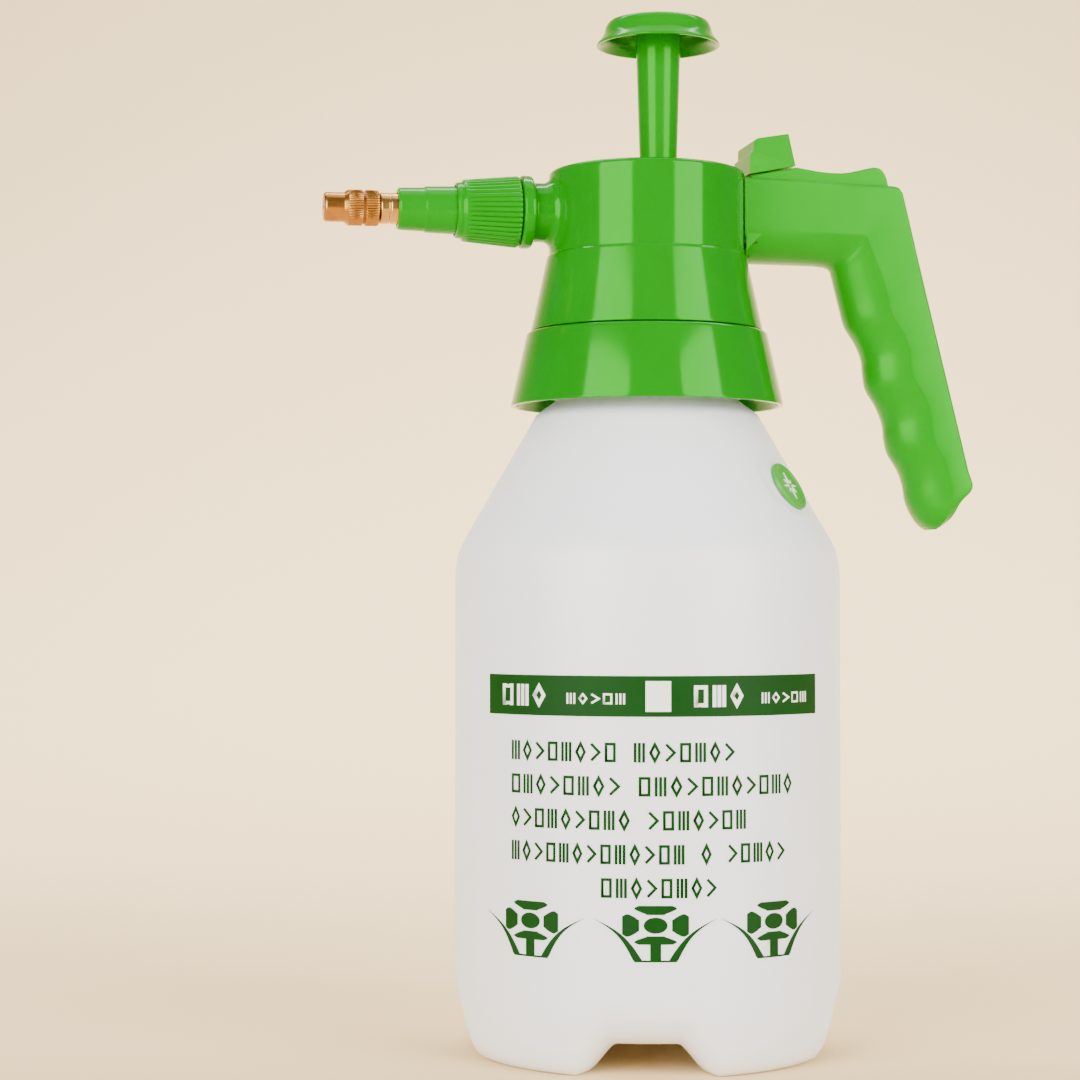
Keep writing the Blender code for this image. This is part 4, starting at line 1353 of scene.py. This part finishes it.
@dataclass
class Plunger:
    """The pump's knob and rod, and the guide they slide in."""

    top: float = 304.4
    rim: float = 297.4
    rim_radius: float = 18.4
    stalk_top: float = 6.7
    stalk_bottom: float = 5.35
    rod_top: float = 255.2
    rod_radius: float = 5.0
    rod_foot: float = 126.0
    guide_top: float = 260.8

    def build_knob(self) -> bpy.types.Object:
        """Makes the domed cap with its flaring thin rim, hollow beneath, on the tapering stalk.

        Returns:
            The knob.
        """
        top, rim, foot, inside = self.top, self.rim, self.rod_top + 0.3, self.top - 1.9
        outline = [
            (0.0, top), (14.6, top, 0.9), (15.7, top - 1.6, 1.2), (16.3, top - 4.4, 1.5), (18.1, rim + 0.5, 0.4),
            (self.rim_radius, rim, 0.25), (18.2, rim - 0.4, 0.2), (17.5, rim - 0.35, 0.2), (15.3, top - 5.2, 1.0),
            (14.5, inside, 0.9), (7.9, inside, 0.7), (self.stalk_top, top - 4.6, 2.0), (self.stalk_bottom, foot, 0.3),
            (3.5, foot), (3.5, foot + 15.0), (0.0, foot + 15.0),
        ]  # fmt: skip
        return lathe("pump_knob_cap", rounded(outline), Axis.PUMP, 160)

    def build_rod(self) -> bpy.types.Object:
        """Makes the rod with its turned ends."""
        radius, top, foot = self.rod_radius, self.rod_top, self.rod_foot
        outline = [
            (0.0, top + 15.0), (3.2, top + 15.0, 0.4), (3.2, top, 0.1), (radius, top, 0.5), (radius, foot, 0.3),
            (3.0, foot, 0.1), (3.0, foot - 11.5, 0.5), (0.0, foot - 11.5),
        ]  # fmt: skip
        return lathe("pump_rod_bar", rounded(outline), Axis.PUMP, 64)

    def build_guide(self) -> bpy.types.Object:
        """Makes the flanged sleeve that closes the top of the head."""
        bore, sleeve, top, under = 5.75, 12.7, self.guide_top, self.guide_top - 1.4
        outline = [
            (bore, top, 0.4), (14.9, top, 0.8), (15.5, under, 0.3), (sleeve, under, 0.1), (sleeve, 219.7, 0.3),
            (11.2, 219.7, 0.2), (11.2, 257.0, 0.5), (bore, 257.0, 0.3),
        ]  # fmt: skip
        return lathe("pump_guide_bush", rounded(outline), Axis.PUMP, 128)

    def dress(self, finishes: Finishes) -> None:
        """Builds and finishes the knob, rod and guide.

        Args:
            finishes: the sprayer's finishes.
        """
        dress(self.build_knob(), Body.PLUNGER, finishes.knob, ["pump_knob"])
        dress(self.build_rod(), Body.PLUNGER, finishes.grey, ["pump_rod"])
        dress(self.build_guide(), Body.SPRAYER, finishes.head, ["pump_guide"])


# Handle and trigger -------------------------------------------------------------------------------------------------


def side_word(side: int) -> str:
    """What the handle's half on this side is called: -1 is the near one."""
    return "near" if side < 0 else "far"


def across_part(name: str, profile: Sequence[Point], centre: Point, steps: int) -> bpy.types.Object:
    """Turns a profile of (radius, y) about a line along Y through centre, which is (x, z)."""

    def place(angle: float, radius: float, height: float) -> Corner:
        """Puts a point of the profile round the line."""
        return centre[0] + radius * math.cos(angle), height, centre[1] + radius * math.sin(angle)

    return spin(name, profile, steps, place)


@dataclass
class Handle:
    """The hollow pistol handle in two halves, its screws, and the small webs beside the head.

    A station is (finger side, crease, back edge) as x and z in turn, then the share of the half width it keeps.
    """

    half_width: float = 11.2
    wall: float = 1.6
    edge_round: float = 1.3
    crease_fall: float = 0.32
    crease_start: float = 40.0
    crease_full: float = 58.0
    seam_gap: float = 0.15
    pieces: int = 5
    section_way: Point = (0.971, 0.24)
    back_top: Point = (76.4, 252.7)
    back_lean: float = 0.247
    screws: tuple[Point, ...] = ((66.9, 243.6), (74.6, 214.0), (87.4, 172.0))
    post_radius: float = 4.3
    pilot_radius: float = 1.4
    slot_half_width: float = 9.5
    beam: tuple[tuple[Point, Point, Point], ...] = (
        ((27.0, 232.7), (27.0, 242.8), (27.0, 257.1)),
        ((43.0, 232.6), (45.0, 241.9), (46.0, 256.6)),
        ((52.5, 232.4), (58.0, 241.3), (62.0, 256.0)),
        ((56.4, 231.6), (64.2, 240.9), (73.3, 255.75)),
        ((57.5, 229.3), (65.5, 238.8), (75.9, 254.2)),
        ((58.3, 226.0), (66.6, 236.4), (76.95, 251.0)),
    )
    grip: tuple[tuple[Point, Point], ...] = (
        ((59.8, 220.0), (70.6, 226.4)),
        ((61.4, 214.4), (72.9, 217.4)),
        ((64.6, 209.4), (76.2, 212.0)),
        ((66.6, 204.6), (78.4, 207.0)),
        ((67.1, 200.0), (78.9, 202.4)),
        ((68.0, 195.4), (79.9, 198.2)),
        ((71.2, 190.2), (83.0, 193.0)),
        ((73.2, 185.0), (84.9, 187.8)),
        ((73.7, 180.6), (85.4, 183.0)),
        ((74.8, 176.2), (86.4, 178.8)),
        ((77.8, 171.4), (89.2, 174.0)),
        ((79.5, 166.8), (90.6, 169.2)),
        ((80.4, 161.8), (91.6, 164.0)),
    )
    tip: tuple[tuple[Point, Point, Point, float], ...] = (
        ((82.4, 157.6), (90.6, 158.6), (94.6, 161.4), 0.92),
        ((84.8, 154.6), (89.4, 155.2), (92.4, 156.8), 0.72),
        ((86.8, 153.2), (88.4, 153.3), (89.8, 153.9), 0.4),
    )

    def back_of(self, crease: Point) -> Point:
        """Where the section through a crease point meets the grip's straight back edge."""
        along, rise = self.section_way
        x, z = crease
        reach = (self.back_top[0] + self.back_lean * (self.back_top[1] - z) - x) / (along + self.back_lean * rise)
        return x + along * reach, z + rise * reach

    def rows(self, with_tip: bool) -> list[list[float]]:
        """Fine stations from the head to the tip, each (finger, crease, back, share) as seven numbers."""
        rough = [[*finger, *crease, *back, 1.0] for finger, crease, back in self.beam]
        rough += [[*finger, *crease, *self.back_of(crease), 1.0] for finger, crease in self.grip]
        if with_tip:
            rough += [[*finger, *crease, *back, share] for finger, crease, back, share in self.tip]
        return curve_through(rough, self.pieces)

    def section(self, row: Sequence[float], side: int, inset: float, middle: float) -> list[Vector]:
        """One side of a section, from the back edge round to the finger side.

        Args:
            row: a fine station.
            side: -1 for the near half and 1 for the far one.
            inset: how far inside the outer face it lies.
            middle: where it stops beside the seam.

        Returns:
            Its points.
        """
        finger, crease, back = (Vector((row[i], 0, row[i + 1])) for i in (0, 2, 4))
        inward = (finger - back).normalized()
        finger, back = finger - inward * inset, back + inward * inset
        half = self.half_width * row[6] - inset
        across = Vector((0, side, 0))
        edge = min(self.edge_round, half / 2)
        points = [back + across * middle]
        for step in range(5):
            turn = math.pi / 2 * step / 4
            points.append(back + across * (half - edge + edge * math.sin(turn)) + inward * edge * (1 - math.cos(turn)))
        points.append(crease + across * half)
        ramp = smooth_step((crease.x - self.crease_start) / (self.crease_full - self.crease_start))
        fall = self.crease_fall * ramp * (finger - crease).length
        for step in range(1, 16):
            turn = math.pi / 2 * step / 16
            along = math.sin(turn)
            out = half * math.cos(turn) - fall * along * (1 - along)
            points.append(crease + (finger - crease) * along + across * max(out, middle))
        points.append(finger + across * middle)
        return points

    def cavity(self) -> bpy.types.Object:
        """The hollow inside both halves, open towards the head."""
        sections = []
        for row in self.rows(with_tip=False):
            near, far = self.section(row, -1, self.wall, 0), self.section(row, 1, self.wall, 0)
            sections.append(near + far[-2:0:-1])
        return loft("handle_hollow", [[point - Vector((4, 0, 0)) for point in sections[0]], *sections])

    def build_half(self, side: int) -> bpy.types.Object:
        """Makes one half, with its screw posts and the room for the lever.

        Args:
            side: -1 for the near half and 1 for the far one.

        Returns:
            The half.
        """
        wide, slot, y = self.half_width, self.slot_half_width, side * FIXING_ASIDE
        sections = [self.section(row, side, 0, self.seam_gap) for row in self.rows(with_tip=True)]
        half = loft(f"handle_{side_word(side)}", sections)
        hollow = self.cavity()
        posts = [bar("post", self.post_radius, (x, -wide, z), (x, wide, z)) for x, z in self.screws]
        posts.append(bar("fixing_post", 2.5, (27.6, y, FIXING_Z), (40, y, FIXING_Z)))
        carve(hollow, "DIFFERENCE", posts)
        carve(half, "DIFFERENCE", [block("lever_room", (26, -slot, 250.0), (73.4, slot, 262)), hollow])
        reach = side * (8.0 if side < 0 else 14.0)
        cutters = [bar("pilot", self.pilot_radius, (x, -side, z), (x, reach, z), 24) for x, z in self.screws]
        if side > 0:
            cutters += [bar("recess", 3.0, (x, 8.6, z), (x, 14, z)) for x, z in self.screws]
        x, z = PIVOT
        cutters += [
            bar("fixing_pilot", self.pilot_radius, (24, y, FIXING_Z), (38.6, y, FIXING_Z), 24),
            bar("head_room", 29.4, (0, 0, 225), (0, 0, 265), 192),
            bar("step_room", 30.0, (0, 0, 224), (0, 0, 234.4), 192),
            bar("pin_room", 1.8, (x, -10.7, z), (x, 10.7, z)),
        ]
        return carve(half, "DIFFERENCE", cutters, 16.0)

    def build_web(self, side: int) -> bpy.types.Object:
        """Makes the small flat web that fills the corner under the beam, beside the head."""
        outline = rounded([(27.7, 242.4, 0.2), (27.7, 235.4, 0.4), (34.6, 242.4, 0.3)], steps=3)
        web = slab(f"handle_web_{side_word(side)}", outline, 1.0, 0.18, 2)
        web.location.y = side * 9.9 * MM
        return web

    def build_screw(self, place: Point) -> bpy.types.Object:
        """Makes a closing screw with a cross in its head, seen in the far half's recess."""
        outline = [
            (0, 10.1), (2.3, 10.1, 0.3), (2.6, 9.8, 0.2), (2.6, 8.9, 0.1), (1.1, 8.9, 0.2), (1.1, -7.0, 0.1), (0, -7.7),
        ]  # fmt: skip
        x, z = place
        screw = across_part(f"closing_screw_{round(z)}", rounded(outline), place, 32)
        long, short, low, high = 1.6, 0.3, 9.2, 12
        arms = ((long, short), (short, long))
        cross = [block("cross", (x - wide, low, z - tall), (x + wide, high, z + tall)) for wide, tall in arms]
        return carve(screw, "DIFFERENCE", cross)

    def dress(self, finishes: Finishes) -> None:
        """Builds and finishes the handle.

        Args:
            finishes: the sprayer's finishes.
        """
        for side, node in ((-1, "handle_left"), (1, "handle_right")):
            dress(self.build_half(side), Body.SPRAYER, finishes.handle, [node])
            dress(self.build_web(side), Body.SPRAYER, finishes.handle)
        for index, place in enumerate(self.screws, 1):
            dress(self.build_screw(place), Body.SPRAYER, finishes.steel, [f"handle_screw_{index}"])


@dataclass
class Trigger:
    """The thumb lever on its pin, and the lock block that slides on its ramp."""

    half_width: float = 9.2
    pin_radius: float = 1.5
    pin_half: float = 10.4
    pin_chamfer: float = 0.3

    def build_lever(self) -> bpy.types.Object:
        """Makes the lever: a wedge that dips under the thumb and ends in a rounded hump.

        Returns:
            The lever.
        """
        top = (
            (72.3, 255.6), (71.5, 258.6), (70.2, 260.7), (68.4, 261.4), (66.2, 261.15), (60.5, 259.8), (56.6, 259.4),
            (51.5, 259.6), (47.0, 260.2), (43.7, 260.7),
        )  # fmt: skip
        outline = [(29.9, 252.4), (70.6, 252.4), (72.0, 253.2), (72.4, 254.4)]
        outline += [(x, z) for x, z in curve_through(top, 4)] + [(29.6, 257.9)]
        lever = slab("thumb_lever", outline, self.half_width, 0.55)
        x, z = PIVOT
        pin_hole = bar("pin_hole", self.pin_radius + 0.3, (x, -12, z), (x, 12, z))
        neck_slot = block("neck_slot", (34.5, -2.3, 250), (41.8, 2.3, 264))
        return carve(lever, "DIFFERENCE", [pin_hole, neck_slot], 32.0)

    def build_lock(self) -> bpy.types.Object:
        """Makes the lock: a leaning block stepped at the front, with its neck and foot.

        Returns:
            The lock.
        """
        outline = [
            (29.3, 258.25, 0.2), (43.4, 261.05, 0.3), (41.2, 270.6, 0.35), (31.6, 268.95, 0.5),
            (30.6, 268.2, 0.3), (30.5, 265.1, 0.2), (29.5, 264.3, 0.3),
        ]  # fmt: skip
        body = slab("lock_block", rounded(outline, steps=3), self.half_width, 0.14, 2)
        neck = block("lock_neck", (34.8, -2.0, 249.8), (36.9, 2.0, 263))
        foot = block("lock_foot", (34.8, -4.5, 249.4), (36.8, 4.5, 251.2))
        return carve(body, "UNION", [neck, foot], 15.0)

    def build_pin(self) -> bpy.types.Object:
        """Makes the lever's pin with chamfered ends."""
        radius, half, cut = self.pin_radius, self.pin_half, self.pin_chamfer
        outline = [(0.0, -half), (radius - cut, -half), (radius, cut - half)]
        outline += [(radius, half - cut), (radius - cut, half), (0.0, half)]
        return across_part("lever_pin_turned", outline, PIVOT, 40)

    def dress(self, finishes: Finishes) -> None:
        """Builds and finishes the lever, lock and pin.

        Args:
            finishes: the sprayer's finishes.
        """
        dress(self.build_lever(), Body.LEVER, finishes.handle, ["trigger_lever"])
        dress(self.build_lock(), Body.LOCK, finishes.handle, ["lock_slider"])
        dress(self.build_pin(), Body.SPRAYER, finishes.steel, ["lever_pin"])


# Nozzle -------------------------------------------------------------------------------------------------------------


@dataclass
class Nozzle:
    """The fluted nut, the stepped holder, and the brass shank with its knurled cap."""

    flutes: int = 40
    flute_depth: float = 0.55
    flutes_start: float = 55.0
    flutes_end: float = 39.8
    nut_radius: float = 9.1
    nut_flare: float = 1.4
    knurls: int = 44
    knurl_depth: float = 0.24
    knurl_bands: tuple[Point, Point] = ((80.7, 84.15), (85.05, 89.0))

    def build_nut(self) -> bpy.types.Object:
        """Makes the fluted retaining nut with its smooth chamfered shoulder.

        Returns:
            The nut.
        """

        def flute(angle: float, radius: float, height: float) -> Point:
            """Sinks the outer cone between the ribs."""
            crest = self.nut_radius + (55.5 - height) / (55.5 - 39.7) * self.nut_flare
            if height > self.flutes_start or radius < max(crest - 0.9, 8.6):
                return radius, height
            wave = abs(math.sin(self.flutes * angle / 2)) ** 0.7
            fade = smooth_step((self.flutes_start - height) / 0.9)
            return radius - self.flute_depth * (1 - wave) * fade, height

        pieces, length = 12, self.flutes_start - self.flutes_end
        outer = [(8.3, 55.9), (9.0, 55.5)]
        for step in range(pieces + 1):
            share = step / pieces
            outer.append((self.nut_radius + self.nut_flare * share, self.flutes_start - length * share))
        outline = rounded([(7.35, 57.8, 0.1), (8.1, 57.5, 0.4), (8.3, 56.2, 0.2)]) + outer
        outline += rounded([(10.45, 39.5), (10.2, 39.0, 0.2), (8.0, 39.0), (8.0, 55.6), (7.35, 55.6)], closed=False)
        return lathe("nozzle_nut_fluted", outline, Axis.NOZZLE, self.flutes * 10, flute, 50.0)

    def build_cone(self) -> bpy.types.Object:
        """Makes the stepped holder."""
        outline = [
            (4.85, 74.8, 0.1), (5.8, 74.8, 0.5), (6.2, 74.0, 0.4), (6.42, 66.9, 0.15), (6.75, 66.6, 0.2),
            (7.05, 58.0, 0.1), (7.05, 55.3, 0.1), (7.7, 55.3, 0.1), (7.7, 53.5, 0.1), (2.2, 53.5, 0.1),
            (2.2, 68.0, 0.1), (4.85, 68.0, 0.1),
        ]  # fmt: skip
        return lathe("nozzle_holder", rounded(outline), Axis.NOZZLE, 128)

    def build_stem(self) -> bpy.types.Object:
        """Makes the brass shank with the groove for its seal."""
        outline = [
            (1.2, 91.0, 0.1), (3.1, 91.0, 0.2), (3.1, 89.0, 0.05), (2.3, 89.0, 0.05), (2.3, 87.2, 0.05),
            (3.1, 87.2, 0.05), (3.1, 80.3, 0.1), (4.3, 79.9, 0.25), (4.55, 79.5, 0.2), (4.55, 77.4, 0.1),
            (4.4, 77.2, 0.05), (4.4, 76.8, 0.05), (4.55, 76.6, 0.1), (4.55, 68.3, 0.1), (1.2, 68.3, 0.1),
        ]  # fmt: skip
        return lathe("nozzle_shank", rounded(outline), Axis.NOZZLE, 96)

    def build_cap(self) -> bpy.types.Object:
        """Makes the spray cap: two knurled bands parted by a groove, a chamfer and a plain tip."""

        def knurl(angle: float, radius: float, height: float) -> Point:
            """Cuts the straight knurl into the two bands."""
            if radius > 5.1 and any(low < height < high for low, high in self.knurl_bands):
                radius -= self.knurl_depth * abs(math.cos(self.knurls * angle / 2)) ** 1.6
            return radius, height

        tip = [(0.6, 96.3), (3.8, 96.3, 0.3), (4.3, 95.7, 0.3), (4.3, 90.4, 0.3), (5.25, 89.2, 0.1)]
        outline = rounded(tip, closed=False)
        outline += [(5.25, 88.8), (5.25, 87.0), (5.25, 85.2), (5.05, 85.0), (4.8, 84.9)]
        outline += [(4.8, 84.3), (5.05, 84.2), (5.25, 84.0), (5.25, 82.4), (5.25, 80.9)]
        skirt = [(5.1, 80.5), (4.9, 80.2, 0.1), (3.7, 80.2, 0.1), (3.7, 92.8, 0.2), (0.6, 92.8)]
        outline += rounded(skirt, closed=False)
        return lathe("spray_cap_knurled", outline, Axis.NOZZLE, self.knurls * 8, knurl, 40.0)

    def dress(self, finishes: Finishes) -> None:
        """Builds and finishes the nozzle's pieces.

        Args:
            finishes: the sprayer's finishes.
        """
        dress(self.build_nut(), Body.RETAINER, finishes.knob, ["nozzle_nut"])
        dress(self.build_cone(), Body.SPRAYER, finishes.knob, ["nozzle_cone"])
        dress(self.build_stem(), Body.SPRAYER, finishes.brass, ["nozzle_stem"])
        dress(self.build_cap(), Body.SPRAY_CAP, finishes.brass_cap, ["nozzle_cap"])


# Inner parts, setting and picture -----------------------------------------------------------------------------------


@dataclass
class InnerParts:
    """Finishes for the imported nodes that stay: the pump's works, the liquid line, the valve and the seals."""

    def dress(self, finishes: Finishes) -> None:
        """Gives each shown node its procedural finish.

        Args:
            finishes: the sprayer's finishes.
        """
        wanted = {
            finishes.grey: ("neck_plug", "pump_cylinder", "piston", "piston_nut", "dip_filter", "valve_body"),
            finishes.tube: ("dip_tube", "supply_tube", "delivery_tube"),
            finishes.rubber: (
                "neck_gasket", "cylinder_gasket", "check_valve", "piston_seal", "stem_seal", "nozzle_gasket",
                "nozzle_seal",
            ),
            finishes.steel: ("valve_stem", "valve_spring", "fixing_screw_1", "fixing_screw_2"),
            finishes.brass: ("swirl_plug",),
        }  # fmt: skip
        for finish, names in wanted.items():
            for name in names:
                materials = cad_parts[name].data.materials
                if not materials:
                    materials.append(finish)
                for index in range(len(materials)):
                    materials[index] = finish
            LOG.info("%s on %d inner nodes", finish.name, len(names))


@dataclass
class Studio:
    """A pale seamless floor that curves up behind, two tall softboxes beside the camera and a soft light above."""

    floor_colour: Colour = (0.94, 0.70, 0.38)
    world_colour: Colour = (1.0, 0.97, 0.94)
    world_strength: float = 0.30
    softbox_place: Point = (1.25, 0.36)
    camera_turn_deg: float = -13.0
    camera_reach: float = 0.757
    camera_height: float = 0.132
    aim_aside_deg: float = 2.4
    aim_up_deg: float = 1.35

    def seen_from_camera(self, aside_deg: float, reach: float, height: float) -> Vector:
        """A place round the bottle, its turn counted from the camera's, positive to the camera's right."""
        turn = math.radians(self.camera_turn_deg + aside_deg)
        return Vector((math.sin(turn) * reach, -math.cos(turn) * reach, height))

    def build_floor(self, groups: Groups) -> None:
        """Makes the floor and its curved back, and keeps them off the object's list."""
        back, start, bend, top, half, pieces = 3.0, -2.2, 2.4, 3.6, 4.5, 16
        line = [(start, 0.0)]
        for step in range(pieces + 1):
            angle = math.pi / 2 * step / pieces
            line.append((back - bend + bend * math.sin(angle), bend - bend * math.cos(angle)))
        line.append((back, top))
        turn = Matrix.Rotation(math.radians(self.camera_turn_deg), 4, "Z")
        corners = [turn @ Vector((x, y, z)) / MM for y, z in line for x in (-half, half)]
        faces = [(2 * i, 2 * i + 1, 2 * i + 3, 2 * i + 2) for i in range(len(line) - 1)]
        floor = make_object("floor", corners, faces)
        finish, tree, shader = start_material("floor_paper")
        skin = groups.put(tree, groups.skin, Grain=420.0, Waves=6.0)
        darker = tuple(channel * 0.985 for channel in self.floor_colour)
        feed_all(tree, shader, {
            "Base Color": mixed_colour(tree, mottled(tree, skin, 0.3), darker, self.floor_colour),
            "Roughness": 0.9,
            "Specular IOR Level": 0.1,
        })
        floor.data.materials.append(finish)
        floor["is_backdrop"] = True

    @staticmethod
    def light(name: str, place: Vector, aim: Vector, size: Point, power: float) -> None:
        """Adds a rectangular softbox.

        Args:
            name: its name.
            place: where it stands, in metres.
            aim: what it faces, in metres.
            size: its width and height, in metres.
            power: its power in watts.
        """
        lamp = bpy.data.lights.new(name, "AREA")
        lamp.shape = "RECTANGLE"
        lamp.size, lamp.size_y = size
        lamp.energy = power
        stand = add_object(name, lamp)
        stand.location = place
        stand.rotation_euler = (aim - place).to_track_quat("-Z", "Y").to_euler()

    def build_lights(self) -> None:
        """Places the softboxes and the even light of the room."""
        middle = Vector((0, 0, 0.16))
        reach, height = self.softbox_place
        self.light("softbox_left", self.seen_from_camera(-36.0, reach, height), middle, (0.88, 1.2), 38.0)
        self.light("softbox_right", self.seen_from_camera(50.0, reach, height), middle, (0.78, 1.2), 32.0)
        self.light("overhead", Vector((0.05, 0.25, 1.5)), middle, (1.3, 1.3), 9.0)
        behind, backdrop = self.seen_from_camera(180.0, 0.55, 1.5), self.seen_from_camera(180.0, 2.6, 0.3)
        self.light("backdrop_wash", behind, backdrop, (2.0, 1.0), 120.0)
        world = bpy.data.worlds.new("room")
        world.use_nodes = True
        shade = world.node_tree.nodes["Background"]
        feed_all(world.node_tree, shade, {"Color": (*self.world_colour, 1.0), "Strength": self.world_strength})
        bpy.context.scene.world = world

    def build_camera(self) -> None:
        """Places the camera with a long lens, level with the bottle's upper half."""
        data = bpy.data.cameras.new("camera")
        data.lens = 85.0
        data.sensor_width = 36.0
        data.clip_start = 0.05
        camera = add_object("camera", data)
        place = self.seen_from_camera(0.0, self.camera_reach, self.camera_height)
        camera.location = place
        ahead = Vector((0, 0, self.camera_height)) - place
        ahead = Matrix.Rotation(math.radians(self.aim_aside_deg), 3, "Z") @ ahead
        ahead.z = ahead.length * math.tan(math.radians(self.aim_up_deg))
        camera.rotation_euler = ahead.to_track_quat("-Z", "Y").to_euler()
        bpy.context.scene.camera = camera

    def build(self, groups: Groups) -> None:
        """Makes the whole setting, its paper with the shared groups."""
        self.build_floor(groups)
        self.build_lights()
        self.build_camera()


def as_lists(bounds: object) -> object:
    """Points and numbers as plain lists."""
    if isinstance(bounds, dict):
        return {key: as_lists(value) for key, value in bounds.items()}
    if isinstance(bounds, (list, tuple, Vector)):
        return [as_lists(value) for value in bounds]
    return float(bounds)


def write_sizes() -> None:
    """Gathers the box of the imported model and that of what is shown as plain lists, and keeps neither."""
    {"cad": as_lists(CAD_BOX), "visual": as_lists(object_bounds())}


def main() -> None:
    """Builds every piece in order, then the setting."""
    logging.basicConfig(level=logging.INFO, format="%(name)s: %(message)s")
    finishes = Finishes()
    for part in (Bottle(), Print(), Head(), Plunger(), Handle(), Trigger(), Nozzle(), InnerParts()):
        part.dress(finishes)
        LOG.info("%s done", type(part).__name__)
    Studio().build(finishes.groups)
    write_sizes()


if __name__ == "__main__":
    main()
